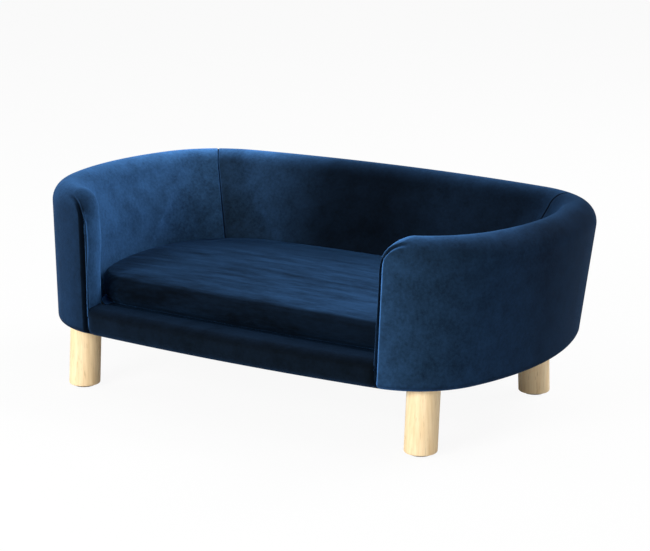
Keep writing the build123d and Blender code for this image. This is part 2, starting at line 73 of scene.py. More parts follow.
class Outline:
    """Five tangent arcs of the right-hand half of a rounded outline, from the middle of the back to the
    middle of the front. half_length, front and rear say how far it reaches, and the rest are radii."""

    def __init__(self, half_length, front, rear, front_corner, rear_corner, front_bow, rear_bow, end_bow):
        middle = (front + rear) / 2
        rear_arc = self.corner(half_length, rear - middle, rear_corner, rear_bow, end_bow)
        front_arc = self.corner(half_length, middle - front, front_corner, front_bow, end_bow)
        arcs = [
            (0, rear - rear_bow, rear_bow, math.pi / 2, rear_arc[2]),
            (rear_arc[0], middle + rear_arc[1], rear_corner, rear_arc[2], rear_arc[3]),
            (half_length - end_bow, middle, end_bow, rear_arc[3], -front_arc[3]),
            (front_arc[0], middle - front_arc[1], front_corner, -front_arc[3], -front_arc[2]),
            (0, front + front_bow, front_bow, -front_arc[2], -math.pi / 2),
        ]
        self.x, self.y, self.radius, self.start, self.stop = np.array(arcs).T
        self.rear, self.rear_centre = rear, rear_arc[0]

    @staticmethod
    def corner(half_length, half_depth, radius, long_bow, end_bow):
        """Centre of a corner arc and its two end angles. The centre is as far from the middles of the two
        bows as their radii are larger than its own."""
        long_centre, end_centre = np.array([0, half_depth - long_bow]), np.array([half_length - end_bow, 0])
        to_long, to_end = long_bow - radius, end_bow - radius
        apart = np.linalg.norm(end_centre - long_centre)
        line = (end_centre - long_centre) / apart
        along = (to_long ** 2 - to_end ** 2 + apart ** 2) / (2 * apart)
        aside = math.sqrt(to_long ** 2 - along ** 2)
        square = np.array([line[1], -line[0]])
        centre = max((long_centre + line * along + square * way * aside for way in (1, -1)), key=sum)
        at_long = math.atan2(*(centre - long_centre)[::-1])
        at_end = math.atan2(*(centre - end_centre)[::-1])
        return centre[0], centre[1], at_long, at_end

    def at(self, place):
        """Points and outward normals at places from -5 to 5. Whole numbers are where arcs meet: 0 is the
        middle of the back, 1 to 2 the rear corner, 2 to 3 the end, 3 to 4 the front corner, 5 the
        middle of the front. Within an arc the place grows with the angle, and a place below zero is
        the mirror image on the left."""
        size = np.abs(place)
        arc = np.clip(size.astype(int), 0, 4)
        angle = self.start[arc] + (self.stop[arc] - self.start[arc]) * (size - arc)
        side = np.where(place < 0, -1.0, 1.0)
        out = np.stack([side * np.cos(angle), np.sin(angle)], -1)
        centre = np.stack([side * self.x[arc], self.y[arc]], -1)
        return centre + out * self.radius[arc][..., None], out


FOOT = Outline(half_length=333.0, front=-219.5, rear=204.2, front_corner=111.0, rear_corner=117.0,
               front_bow=2820.0, rear_bow=2820.0, end_bow=370.0)
RIM = Outline(half_length=325.5, front=-190.8, rear=193.5, front_corner=129.0, rear_corner=107.0,
              front_bow=3700.0, rear_bow=1400.0, end_bow=339.0)
DECK = Outline(half_length=266.5, front=-172.3, rear=122.5, front_corner=60.0, rear_corner=150.0,
               front_bow=8000.0, rear_bow=6000.0, end_bow=300.0)
ARC_ENDS = np.concatenate([[0], np.cumsum(RIM.radius * (RIM.start - RIM.stop))])
print("half way round the rim is", round(ARC_ENDS[-1]), "mm")


def place_after(length):
    """The place that lies a length along the rim from the middle of the back."""
    return np.sign(length) * np.interp(np.abs(length), ARC_ENDS, np.arange(6))


def length_to(place):
    """The length along the rim to a place."""
    return np.sign(place) * np.interp(np.abs(place), np.arange(6), ARC_ENDS)


def eased(count, tightness=0.93):
    """Shares from 0 to 1 whose steps are small at both ends: t minus a sine, so seams get the finest
    cells."""
    t = np.linspace(0, 1, count)
    return t - tightness * np.sin(2 * np.pi * t) / (2 * np.pi)


# %% [markdown]
# ## From a grid of points to a piece
#
# Each cover is a function of two parameters, worked out on a grid as whole arrays. The cloth has a
# thickness, so a piece is two such grids, joined round their borders. A Solidify modifier would do it
# too; here the border has its own points, so that the shading doesn't bleed round the cut edge.

# %% Grids of points
def smooth_step(value):
    """From 0 to 1, level at both ends: 3 t^2 - 2 t^3."""
    value = np.clip(value, 0, 1)
    return value ** 2 * (3 - 2 * value)


def unit(vectors):
    """Each vector divided by its length."""
    return vectors / np.maximum(np.linalg.norm(vectors, axis=-1, keepdims=True), 1e-9)


def normals(grid, round_trip=False):
    """Square to both directions of a grid: the cross product of its steps along rows and columns."""
    along_rows = np.gradient(grid, axis=0)
    if round_trip:
        along_columns = (np.roll(grid, -1, 1) - np.roll(grid, 1, 1)) / 2
    else:
        along_columns = np.gradient(grid, axis=1)
    return unit(np.cross(along_rows, along_columns))


def quads(rows, columns, start=0, round_trip=False):
    """Corners of every cell of a grid of points."""
    number = start + np.arange(rows * columns).reshape(rows, columns)
    if round_trip:
        number = np.concatenate([number, number[:, :1]], 1)
    cells = [number[:-1, :-1], number[1:, :-1], number[1:, 1:], number[:-1, 1:]]
    return np.stack(cells, -1).reshape(-1, 4)


print("a grid of 3 by 4 points has", len(quads(3, 4)), "cells")

# %% [markdown]
# A mesh is filled from whole lists of points and faces at once. It can also carry numbers on its points.
# These are how a finish learns where a seam runs, which it paints with shade, and how much painted light
# and shade to add, which stands in part for the way the pile was brushed. They could be painted by hand as
# vertex colours; here they are worked out with the shape.

# %% Pieces and sheets
WELD = 1e-5                 # metres: points nearer than this are one


def new_piece(name, points, faces, finish, merge=False, out=None, marks=None):
    """A smooth mesh object from points in millimetres. merge welds points that lie together, as at the
    poles of a closed body. out gives the points' own normals, and marks a number for each point that a
    finish reads by name."""
    mesh = bpy.data.meshes.new(name)
    mesh.from_pydata((points * MM).tolist(), [], faces.tolist())
    for mark, values in (marks or {}).items():
        mesh.attributes.new(mark, "FLOAT", "POINT").data.foreach_set("value", values.astype(np.float32))
    if merge:
        work = bmesh.new()
        work.from_mesh(mesh)
        bmesh.ops.remove_doubles(work, verts=work.verts, dist=WELD)
        work.to_mesh(mesh)
        work.free()
    mesh.validate()
    mesh.polygons.foreach_set("use_smooth", np.ones(len(mesh.polygons), bool))
    if out is not None:
        mesh.normals_split_custom_set_from_vertices(out.tolist())
    mesh.materials.append(finish)
    piece = bpy.data.objects.new(name, mesh)
    bpy.context.scene.collection.objects.link(piece)
    return piece


def sheet_piece(name, grid, thickness, finish, out=None, seam=None, nap_and_painted_light=None):
    """A cloth from a grid: the same grid again, moved back by the thickness, and four strips round the
    border. seam says how near a point is to a sewn line, which the velvet paints with shade. The last
    number is painted light and shade: how much paler or darker the colour is made, standing in part for the
    way the pile lies."""
    out = normals(grid) if out is None else out
    back = grid - out * thickness
    seam = np.zeros(grid.shape[:2]) if seam is None else seam
    nap_and_painted_light = np.zeros(grid.shape[:2]) if nap_and_painted_light is None else nap_and_painted_light
    layers = [(grid, out, seam, nap_and_painted_light), (back[::-1], -out[::-1], seam[::-1], nap_and_painted_light[::-1])]
    borders = [(grid[0], back[0]), (back[-1], grid[-1]),
               (back[:, 0], grid[:, 0]), (grid[:, -1], back[:, -1])]
    for first, second in borders:
        strip = np.stack([second, first])
        plain = np.zeros(strip.shape[:2])
        layers.append((strip, normals(strip), plain, plain))
    faces, count = [], 0
    for points, *_ in layers:
        faces.append(quads(*points.shape[:2], count))
        count += points.shape[0] * points.shape[1]
    points, outs, seams, nap_and_painted_lights = [
        np.concatenate([part.reshape(-1, *part.shape[2:]) for part in parts]) for parts in zip(*layers)]
    return new_piece(name, points, np.concatenate(faces), finish, out=outs,
                     marks={"seam": seams, "nap_and_painted_light": nap_and_painted_lights})


print("points nearer than", WELD, "m are welded")


# %% [markdown]
# ## Finishes
#
# A finish is one Principled shader with patterns plugged into it. Each node could be made and linked by
# hand, line by line. A small class with one short method for each kind of node keeps the finishes
# themselves down to what is particular about them. All patterns are read at Object coordinates, so
# nothing has to be unwrapped.

# %% Shader helpers
def srgb(red, green, blue):
    """A colour read off as 0 to 255, as the linear values that a shader takes."""
    share = np.array([red, green, blue]) / 255
    linear = np.where(share <= 0.04045, share / 12.92, ((share + 0.055) / 1.055) ** 2.4)
    return (*linear.tolist(), 1.0)


class Finish:
    """A material with one Principled shader, and short ways to add patterns to it."""

    def __init__(self, name, **values):
        """values are the shader's own numbers and colours, by the names of its sockets."""
        self.material = bpy.data.materials.new(name)
        self.material.use_nodes = True
        self.tree = self.material.node_tree
        self.shader = self.tree.nodes["Principled BSDF"]
        for socket, value in values.items():
            self.shader.inputs[socket.replace("_", " ")].default_value = value

    def node(self, kind, inputs=(), **settings):
        """A new node: inputs are (socket, value or output) pairs."""
        node = self.tree.nodes.new(kind)
        for setting, value in settings.items():
            setattr(node, setting, value)
        for socket, value in inputs:
            if isinstance(value, bpy.types.NodeSocket):
                self.tree.links.new(value, node.inputs[socket])
            else:
                node.inputs[socket].default_value = value
        return node

    def place(self, stretch=(1, 1, 1)):
        """Object coordinates, stretched."""
        coordinates = self.node("ShaderNodeTexCoord").outputs["Object"]
        inputs = [("Vector", coordinates), ("Scale", stretch)]
        return self.node("ShaderNodeMapping", inputs).outputs["Vector"]

    def noise(self, scale, detail=3.0, roughness=0.5, stretch=(1, 1, 1), distortion=0.0):
        """Noise from 0 to 1: scale is the number of blotches to the metre, detail the layers of finer
        ones."""
        inputs = [("Vector", self.place(stretch)), ("Scale", scale), ("Detail", detail),
                  ("Roughness", roughness), ("Distortion", distortion)]
        return self.node("ShaderNodeTexNoise", inputs).outputs["Fac"]

    def ramp(self, value, stops):
        """Colours along a value: stops are (share, colour) pairs."""
        node = self.node("ShaderNodeValToRGB", [("Fac", value)])
        elements = node.color_ramp.elements
        while len(elements) < len(stops):
            elements.new(0.5)
        for element, (share, colour) in zip(elements, stops):
            element.position = share
            element.color = colour
        return node.outputs["Color"]

    def math(self, operation, first, second=0.5, third=0.5):
        """One step of arithmetic on values."""
        inputs = [(0, first), (1, second), (2, third)]
        return self.node("ShaderNodeMath", inputs, operation=operation).outputs[0]

    def mix(self, share, first, second, blend="MIX"):
        """Two colours mixed."""
        inputs = [(0, share), (6, first), (7, second)]
        return self.node("ShaderNodeMix", inputs, data_type="RGBA", blend_type=blend).outputs[2]

    def bump(self, height, distance, strength=1.0, below=None):
        """The look of small relief, a distance in metres high."""
        inputs = [("Height", height), ("Distance", distance), ("Strength", strength)]
        if below is not None:
            inputs.append(("Normal", below))
        return self.node("ShaderNodeBump", inputs).outputs["Normal"]

    def number(self, mark):
        """A number that a piece carries on its points, or zero where it has none of that name."""
        return self.node("ShaderNodeAttribute", attribute_name=mark).outputs["Fac"]

    def times(self, colour, factor):
        """A colour made paler or darker: all three channels times the factor."""
        return self.node("ShaderNodeVectorMath", [(0, colour), (3, factor)], operation="SCALE").outputs[0]

    def to(self, socket, output):
        """Joins an output to a socket of the shader."""
        self.tree.links.new(output, self.shader.inputs[socket])


print("white is", srgb(255, 255, 255), "to a shader")

# %% [markdown]
# Velvet is a cloth of short upright threads. It is dark looked at straight on and pale at a glancing
# angle, and it keeps the marks of every hand that brushed it. The Principled shader's sheen alone gives a
# thin bright edge, so a Layer Weight node also mixes in the paler colour of the threads' sides, and four
# layers of noise give the brushed marks. A picture of velvet could be wrapped round the pieces, but it
# would show its tiles.

# %% Velvet
NAVY = (18, 36, 55)             # where the brushed pile looks palest
NAVY_DEEP = (8, 19, 30)         # where it looks darkest
NAVY_EDGE = (64, 112, 170)      # of the threads' sides
NAVY_SHEEN = (84, 150, 222)
# painted shade for the seams' grooves
PAINTED_SEAM_SHADE = (3, 9, 18)
BROAD_SCALE, BROAD_WEIGHT = 6.0, 0.7        # blotches to the metre, and how much they count
SMALL_SCALE, SMALL_WEIGHT = 48.0, 0.8
FINE_SCALE, FINE_WEIGHT = 260.0, 0.7
PILE_SCALE, PILE_WEIGHT = 1300.0, 0.14
MARKS_START = -0.65             # brings the middle of their sum to about a half
MARKS_LOW, MARKS_HIGH = 0.3, 0.8    # where the sum is all dark and all pale
SMALL_RELIEF = 0.0008           # metres
PILE_RELIEF = 0.0004
GLANCING_POWER = 1.5
PATCHINESS = 1.3                # of the glancing light


def velvet(name, shade=1.0, edge=1.0, brushed=(1, 1, 1), streaks=0.0, sheen=0.15):
    """Blue velvet. Four sizes of noise are added up into marks of brushing, mottling and pile, which choose
    between the two dark blues. The share of the pale edge colour is the facing value, one minus the cosine
    of the angle, to a power, times edge, and it is patchy as the marks are. The colour is then multiplied
    by one plus the painted light and shade that a piece carries on its points, and turns into painted seam
    shade where the seam mark is one. shade darkens the two dark blues, which paints shade over a whole
    piece, brushed stretches the marks along the way that a hand went, and streaks makes them stronger."""
    finish = Finish(name, Roughness=0.85, Sheen_Weight=sheen, Sheen_Roughness=0.35,
                    Sheen_Tint=srgb(*NAVY_SHEEN), Specular_IOR_Level=0.03)
    broad = finish.noise(BROAD_SCALE, 3.0, 0.55, brushed, distortion=0.8)
    small = finish.noise(SMALL_SCALE, 4.0, 0.62, brushed)
    fine = finish.noise(FINE_SCALE, 3.0, 0.65, brushed)
    pile = finish.noise(PILE_SCALE, 2.0, 0.7)
    marks = MARKS_START - streaks / 2
    for pattern, weight in ((small, SMALL_WEIGHT + streaks), (broad, BROAD_WEIGHT),
                            (fine, FINE_WEIGHT), (pile, PILE_WEIGHT)):
        marks = finish.math("MULTIPLY_ADD", pattern, weight, marks)
    light = [channel * shade for channel in NAVY]
    deep = [channel * shade for channel in NAVY_DEEP]
    cloth = finish.ramp(marks, [(MARKS_LOW, srgb(*deep)), (MARKS_HIGH, srgb(*light))])
    facing = finish.node("ShaderNodeLayerWeight", [("Blend", 0.5)]).outputs["Facing"]
    glancing = finish.math("MULTIPLY", finish.math("POWER", facing, GLANCING_POWER), edge)
    contrast = PATCHINESS + 2 * streaks
    patches = finish.math("MULTIPLY_ADD", marks, contrast, 1 - contrast / 2)
    cloth = finish.mix(finish.math("MULTIPLY", glancing, patches), cloth, srgb(*NAVY_EDGE))
    cloth = finish.times(cloth, finish.math("ADD", finish.number("nap_and_painted_light"), 1.0))
    finish.to("Base Color", finish.mix(finish.number("seam"), cloth, srgb(*PAINTED_SEAM_SHADE)))
    relief = finish.bump(pile, PILE_RELIEF, 0.6)
    finish.to("Normal", finish.bump(small, SMALL_RELIEF, 0.35, relief))
    return finish.material


wall_velvet = velvet("wall_velvet")
# apron_velvet and back_velvet are darker copies of the same velvet: painted shade over the apron, ledge and
# back, standing in part for pile that lies another way. The apron also gets little glancing light.
apron_velvet = velvet("apron_velvet", shade=0.42, edge=0.15, sheen=0.05)
cushion_velvet = velvet("cushion_velvet", edge=0.42, brushed=(0.3, 1.8, 1), streaks=0.5, sheen=0.15)
back_velvet = velvet("back_velvet", shade=0.75, edge=0.9)
print("velvets:", wall_velvet.name, apron_velvet.name, cushion_velvet.name, back_velvet.name)

# %% [markdown]
# Under the velvet there is cut foam, full of small cells, and under the base a woven lining. The cells
# are a Voronoi pattern, which is what packed bubbles look like. The weave is two stretched noises laid
# across each other, which stays soft where a Wave pattern of the same pitch would shimmer.

# %% Foam and weave as finishes
FOAM_CELLS = 700.0              # to the metre
THREADS = 900.0


def open_foam():
    """Cut foam: cream, with small round cells. The tone is half the cells and half a broad cloud."""
    finish = Finish("foam", Roughness=0.95, Specular_IOR_Level=0.1)
    inputs = [("Vector", finish.place()), ("Scale", FOAM_CELLS)]
    cells = finish.node("ShaderNodeTexVoronoi", inputs).outputs["Distance"]
    cloud = finish.noise(25.0, 3.0)
    tone = finish.math("MULTIPLY_ADD", cells, 0.5, finish.math("MULTIPLY", cloud, 0.5))
    finish.to("Base Color", finish.ramp(tone, [(0.2, srgb(206, 192, 150)), (0.7, srgb(240, 232, 204))]))
    finish.to("Normal", finish.bump(cells, 0.0004, 0.6))
    return finish.material


def woven(name, light, dark):
    """Plain weave: noise stretched along Y and along X, the higher of the two on top, and some fluff."""
    finish = Finish(name, Roughness=0.95, Specular_IOR_Level=0.1)
    fluff = finish.noise(120.0, 3.0)
    threads = finish.noise(THREADS, 1.0, 0.5, (1, 0.15, 1))
    crossing = finish.noise(THREADS, 1.0, 0.5, (0.15, 1, 1))
    weave = finish.math("MAXIMUM", threads, crossing)
    cloth = finish.math("MULTIPLY_ADD", weave, 0.7, finish.math("MULTIPLY", fluff, 0.3))
    finish.to("Base Color", finish.ramp(cloth, [(0.35, srgb(*dark)), (0.7, srgb(*light))]))
    finish.to("Normal", finish.bump(cloth, 0.0004, 0.4))
    return finish.material


foam_finish = open_foam()
lining = woven("lining_cloth", (40, 40, 44), (16, 16, 18))
tape_cloth = woven("zip_tape", (26, 42, 70), (12, 22, 40))
print("under the velvet:", foam_finish.name, lining.name, tape_cloth.name)

# %% [markdown]
# ## The section of the wall
#
# Cut through, the wall is a padded board: the cover starts turned in under the base, goes round a soft
# lower edge, rises in a straight line until it touches the round top edge, goes over it and comes down
# the inside to the deck. The same section is carried round the plan, so one function gives every point of
# the three wall covers.

# %% Rows of the section
LIP = 34.0                  # of cover, turned in under the board
BOTTOM_ROUND = 9.0
LEDGE_FOOT = 107.0          # above this height the arm's end face shows
TUCK = 4.0                  # the inner side goes on this far below the deck
INNER_FULLNESS = 3.0        # padding of the inner side above the cushion
FULL_PART = 0.65            # the share of the inner side, from its top, that the padding fills out
HIGH_ROWS = 27
RIM_ROWS = 55

LIP_INSET = np.linspace(LIP, BOTTOM_ROUND, 4)[:-1]
ROUND_ANGLE = np.radians(np.linspace(0, 90, 8))[:-1]
LOW_SHARE = np.linspace(0, 1, 5)[:-1]
HIGH_SHARE = np.linspace(0, 1, HIGH_ROWS)
RIM_SHARE = np.linspace(0, 1, RIM_ROWS + 2)[1:-1]
ROWS = [len(LIP_INSET), len(ROUND_ANGLE), len(LOW_SHARE), HIGH_ROWS, RIM_ROWS, HIGH_ROWS]
ENDS = np.cumsum([0] + ROWS)
lip_rows, round_rows, low_rows, high_rows, rim_rows, inner_rows = [
    slice(*pair) for pair in zip(ENDS, ENDS[1:])]
print("rows of the section:", ENDS[-1])

# %% [markdown]
# Going over the top, the section is part of a circle. Where the straight sides leave that circle could be
# found by trying angles. A line through a point touches a circle at an angle that has a formula, so it is
# worked out, and the sides run smoothly into the round.

# %% Where the sides touch the round top edge
def rim_middle(place):
    """Middle of the round top edge, in 3-D, and the way out from it."""
    middle, out = RIM.at(place)
    height = RIM_BACK_HEIGHT + RIM_SLOPE * (RIM.rear - middle[..., 1])
    return np.concatenate([middle, height[..., None]], -1), np.concatenate([out, out[..., :1] * 0], -1)


def touch(point, middle, out, turn):
    """Angle on the rim's circle where a line from a point touches it: the angle to the point, turned by
    the arc cosine of the radius over the distance."""
    across = ((point - middle) * out).sum(-1)
    up = (point - middle)[..., 2]
    return np.arctan2(up, across) + turn * np.arccos(RIM_RADIUS / np.hypot(across, up))


def on_rim(middle, out, angle):
    """A point on the rim's circle."""
    circle = out * np.cos(angle)[..., None] + np.array([0, 0, 1.0]) * np.sin(angle)[..., None]
    return middle + circle * RIM_RADIUS


top_edge = rim_middle(np.zeros(1))[0][0]
print("the top edge is", round(top_edge[2] + RIM_RADIUS), "mm high in the middle of the back")


# %% The skin of the wall
def wall(place):
    """Points of the wall's skin. place has one row for each row of the section. The outside is the line
    from the foot to where it touches the rim's circle, the inside the line from the circle to the
    deck."""
    foot, foot_out = FOOT.at(place)
    foot = np.concatenate([foot, np.full(place.shape + (1,), LEG_HEIGHT)], -1)
    foot_out = np.concatenate([foot_out, foot_out[..., :1] * 0], -1)
    deck = np.concatenate([DECK.at(place)[0], np.full(place.shape + (1,), DECK_HEIGHT)], -1)
    middle, out = rim_middle(place)
    start = touch(foot, middle, out, 1)
    stop = touch(deck, middle, out, -1) % (2 * np.pi)
    top_of_outside = on_rim(middle, out, start)
    top_of_inside = on_rim(middle, out, stop)
    rise = (top_of_outside[..., 2] - LEG_HEIGHT)[..., None]
    skin = np.zeros(place.shape + (3,))

    def column(values):
        """One value for each row, shaped to go with a grid of points."""
        return np.asarray(values)[:, None, None]

    skin[lip_rows] = foot[lip_rows] - foot_out[lip_rows] * column(LIP_INSET)
    share = column(BOTTOM_ROUND * (1 - np.cos(ROUND_ANGLE))) / rise[round_rows]
    skin[round_rows] = foot[round_rows] + (top_of_outside - foot)[round_rows] * share
    skin[round_rows] -= foot_out[round_rows] * column(BOTTOM_ROUND * (1 - np.sin(ROUND_ANGLE)))
    for rows, shares, low, high in ((low_rows, LOW_SHARE, LEG_HEIGHT + BOTTOM_ROUND, LEDGE_FOOT),
                                    (high_rows, HIGH_SHARE, LEDGE_FOOT, None)):
        low_share = (low - LEG_HEIGHT) / rise[rows]
        high_share = (high - LEG_HEIGHT) / rise[rows] if high else 1.0
        share = low_share + (high_share - low_share) * column(shares)
        skin[rows] = foot[rows] + (top_of_outside - foot)[rows] * share
    angle = start[rim_rows] + (stop - start)[rim_rows] * RIM_SHARE[:, None]
    skin[rim_rows] = on_rim(middle[rim_rows], out[rim_rows], angle)
    fall = (top_of_inside[..., 2] - DECK_HEIGHT)[inner_rows][..., None]
    share = column(HIGH_SHARE) * (1 + TUCK / fall)
    skin[inner_rows] = top_of_inside[inner_rows] + (deck - top_of_inside)[inner_rows] * share
    full = np.sin(np.pi * np.clip(share / FULL_PART, 0, 1)) ** 2
    skin[inner_rows] -= out[inner_rows] * full * INNER_FULLNESS
    return skin


middle_of_back = wall(np.zeros((ENDS[-1], 1)))
print("the middle of the back is", np.ptp(middle_of_back[..., 1]).round(1), "mm deep")


# %% [markdown]
# ## The ends of the arms
#
# In front the wall ends in two padded faces that look at each other across the opening. The cover goes
# round the front edge to a seam, and over the top without one. Each row of the section is bent round a
# quarter circle into the end face: a small one at the sides, a large one over the top, which gives the
# arm its sloping shoulder. The rest of the face is filled to its middle line.

# %% Values of the arm's end
END_HALF = 211.0            # from the middle of the sofa to the end face, at the foot
END_FLARE = 5.5             # the face leans away by this much at the height of the rim
FRONT_ROUND = 7.0           # radius of the face's front edge
INNER_ROUND = (26.0, 36.0)  # the softer inner edge starts this far back, and goes this far across
THINNER = 8.0               # the padding of the inner side thins out by this much at the end of the arm
THINNER_OVER = 110.0        # along the rim
SHOULDER = 30.0             # radius over the top
CROWN_DROP = 12.0           # height of the round top of the flat part
FACE_FULLNESS = 1.5
SEAM_TURN = np.radians(50)  # how far round the front edge the seam lies
LATE_TURN = np.radians(84)  # where there is no seam, the face starts here
SEAM_CORNER = 26.0          # radius of the seam where it turns away over the arm's top
SEAM_CORNER_LOW = 229.0     # height where it starts to turn
SEAM_STEP = 0.7             # between the points that the seam is worked out at
SEAM_END = 100              # degrees that it turns before it ends
SEAM_FADE = 60              # degrees over which it gets shallower before that
GROOVE = 5.0                # depth of the front seam
GROOVE_WIDTH = 2.3
CORNER_SEAM_DEPTH = 1.2     # the seams at the rear corners are flatter
CORNER_SEAM_WIDTH = 1.1
CORNER_SEAM_ANGLE = np.radians(55)
COVER = 1.3                 # thickness of the cloth
SOLVE_STEPS = 12            # of finding the place where each row starts to bend
SOLVE_SLOPE = 330           # millimetres across for one unit of place, about
END_PLACE = 4.35            # the place on the outlines whose section the arm's end takes
NEAR_END = 45               # columns before the bend that the front seam can reach
SMOOTHED = 21               # points of the seam that each of its depths and ways is the mean of
FINER = 6                   # times as many rows, to look for the seam's nearest point
FACES_FRONT = -0.25         # Y of a normal that counts as facing the front
LATE_FROM = np.radians(75)  # on the rim's circle: from here on there is no seam


def end_line(height):
    """Distance of the end face from the middle of the sofa."""
    return END_HALF + END_FLARE * (height - LEG_HEIGHT) / (RIM_BACK_HEIGHT - LEG_HEIGHT)


print("the end faces are", 2 * END_HALF, "mm apart at the foot and lean out by", END_FLARE, "mm")


# %% The skin of an arm
def arm(from_place, wall_columns, edge_columns, face_columns):
    """The right arm's skin from a seam to the middle line of its end face, and the column of the front
    seam. In the bend, a point goes across by the sine of the turn, and in and down by one minus its
    cosine."""
    rows = ENDS[-1]
    ring = np.full((rows, 1), END_PLACE)
    skin = wall(ring)[:, 0]
    rim_angle = np.pi * RIM_SHARE
    outer, inner = slice(0, high_rows.stop), inner_rows
    inner_reach, inner_across = INNER_ROUND
    face_top = rim_middle(ring)[0][0, 0, 2] - SHOULDER + RIM_RADIUS - CROWN_DROP
    height = np.zeros(rows)
    for side, low, high in ((outer, LEG_HEIGHT, skin[outer][-1, 2]),
                            (inner, skin[-1, 2], skin[inner][0, 2])):
        height[side] = low + (skin[side, 2] - low) * (face_top - low) / (high - low)

    def front_at(z):
        """Y of the face's front edge at a height."""
        return np.interp(z, skin[outer, 2], skin[outer, 1]) + FRONT_ROUND

    def behind_at(z):
        """Y of its rear edge at a height."""
        return np.interp(z, skin[inner, 2][::-1], skin[inner, 1][::-1]) - inner_across

    middle_top = (front_at(face_top) + behind_at(face_top)) / 2
    half_top = (behind_at(face_top) - front_at(face_top)) / 2
    height[rim_rows] = face_top + CROWN_DROP * np.sin(rim_angle)
    across = np.where(np.arange(rows) < rim_rows.start, front_at(height), behind_at(height))
    across[rim_rows] = middle_top - half_top * np.cos(rim_angle)
    middle = (front_at(height) + behind_at(height)) / 2
    middle[rim_rows] = middle_top
    middle_height = height.copy()
    middle_height[rim_rows] = face_top
    middle_height[inner] = height[high_rows][::-1]
    middle[inner] = middle[high_rows][::-1]

    reach = np.where(np.arange(rows) < rim_rows.start, FRONT_ROUND, inner_reach)
    side_reach = np.where(rim_angle < np.pi / 2, FRONT_ROUND, inner_reach)
    reach[rim_rows] = side_reach + (SHOULDER - side_reach) * np.sin(rim_angle) ** 2
    face_x = end_line(height)
    begin = 5 - (face_x + reach) / wall(np.full((rows, 1), 4.0))[:, 0, 0]
    for _ in range(SOLVE_STEPS):
        begin += (wall(begin[:, None])[:, 0, 0] - face_x - reach) / SOLVE_SLOPE
    share = eased(wall_columns)[None]
    lengths = length_to(from_place) + (length_to(begin)[:, None] - length_to(from_place)) * share
    sides = wall(place_after(lengths))
    inner_share = np.zeros(rows)
    inner_share[rim_rows] = (1 - np.cos(rim_angle)) / 2
    inner_share[inner] = 1
    near_end = 1 - (lengths[:, -1:] - lengths) / THINNER_OVER
    sides[..., 1] -= THINNER * inner_share[:, None] * smooth_step(near_end)

    seam = np.full(rows, SEAM_TURN)
    to_late = np.clip(rim_angle / LATE_FROM, 0, 1) ** 1.5
    seam[rim_rows] = SEAM_TURN + (LATE_TURN - SEAM_TURN) * to_late
    seam[inner] = LATE_TURN
    before = np.linspace(0, 1, edge_columns)[None, 1:] * seam[:, None]
    after = (np.linspace(0, 1, edge_columns) ** 1.3)[None, 1:] * (np.pi / 2 - seam)[:, None]
    after = after + seam[:, None]
    turn = np.concatenate([before, after], 1)
    last = sides[:, -1]
    bend = np.zeros(turn.shape + (3,))
    bend[..., 0] = last[:, :1] + (face_x - last[:, 0])[:, None] * np.sin(turn)
    bend[..., 1] = last[:, 1:2] + (across - last[:, 1])[:, None] * (1 - np.cos(turn))
    bend[..., 2] = last[:, 2:3] + (height - last[:, 2])[:, None] * (1 - np.cos(turn))

    q = np.linspace(0, 1, face_columns)[1:]
    face = np.zeros((rows, len(q), 3))
    face[..., 1] = across[:, None] + (middle - across)[:, None] * q
    face[..., 2] = height[:, None] + (middle_height - height)[:, None] * q
    face[..., 0] = end_line(face[..., 2]) - FACE_FULLNESS * smooth_step(q)
    return np.concatenate([sides, bend, face], 1), wall_columns + edge_columns - 2


print("the arm's end takes the section at place", END_PLACE)

# %% [markdown]
# The cover and the facing are sewn together along the front edge of the arm, and the thread draws the
# seam in. The groove could be a loop cut pulled in by hand. Here the seam is a line of its own, and every
# point near it moves in by a depth that falls off with the distance, so the grid needs no cut there.

# %% Seams of an arm
def front_seam_line(edge):
    """The seam seen from the front, as (x, z) and how deep it is drawn: up beside the end face, along the
    grid's own column, then round a quarter circle along the arm's top, where it fades."""
    up = np.arange(LEG_HEIGHT, SEAM_CORNER_LOW, SEAM_STEP)
    straight = np.stack([np.interp(up, edge[:, 2], edge[:, 0]), up], -1)
    turn = np.radians(np.arange(0, SEAM_END, 1.5))
    centre = straight[-1, 0] + SEAM_CORNER
    bent = [centre - SEAM_CORNER * np.cos(turn), SEAM_CORNER_LOW + SEAM_CORNER * np.sin(turn)]
    bent = np.stack(bent, -1)
    fade = np.clip((np.radians(SEAM_END) - turn) / np.radians(SEAM_FADE), 0, 1)
    depth = np.concatenate([np.ones(len(up)), fade])
    return np.concatenate([straight, bent]), depth


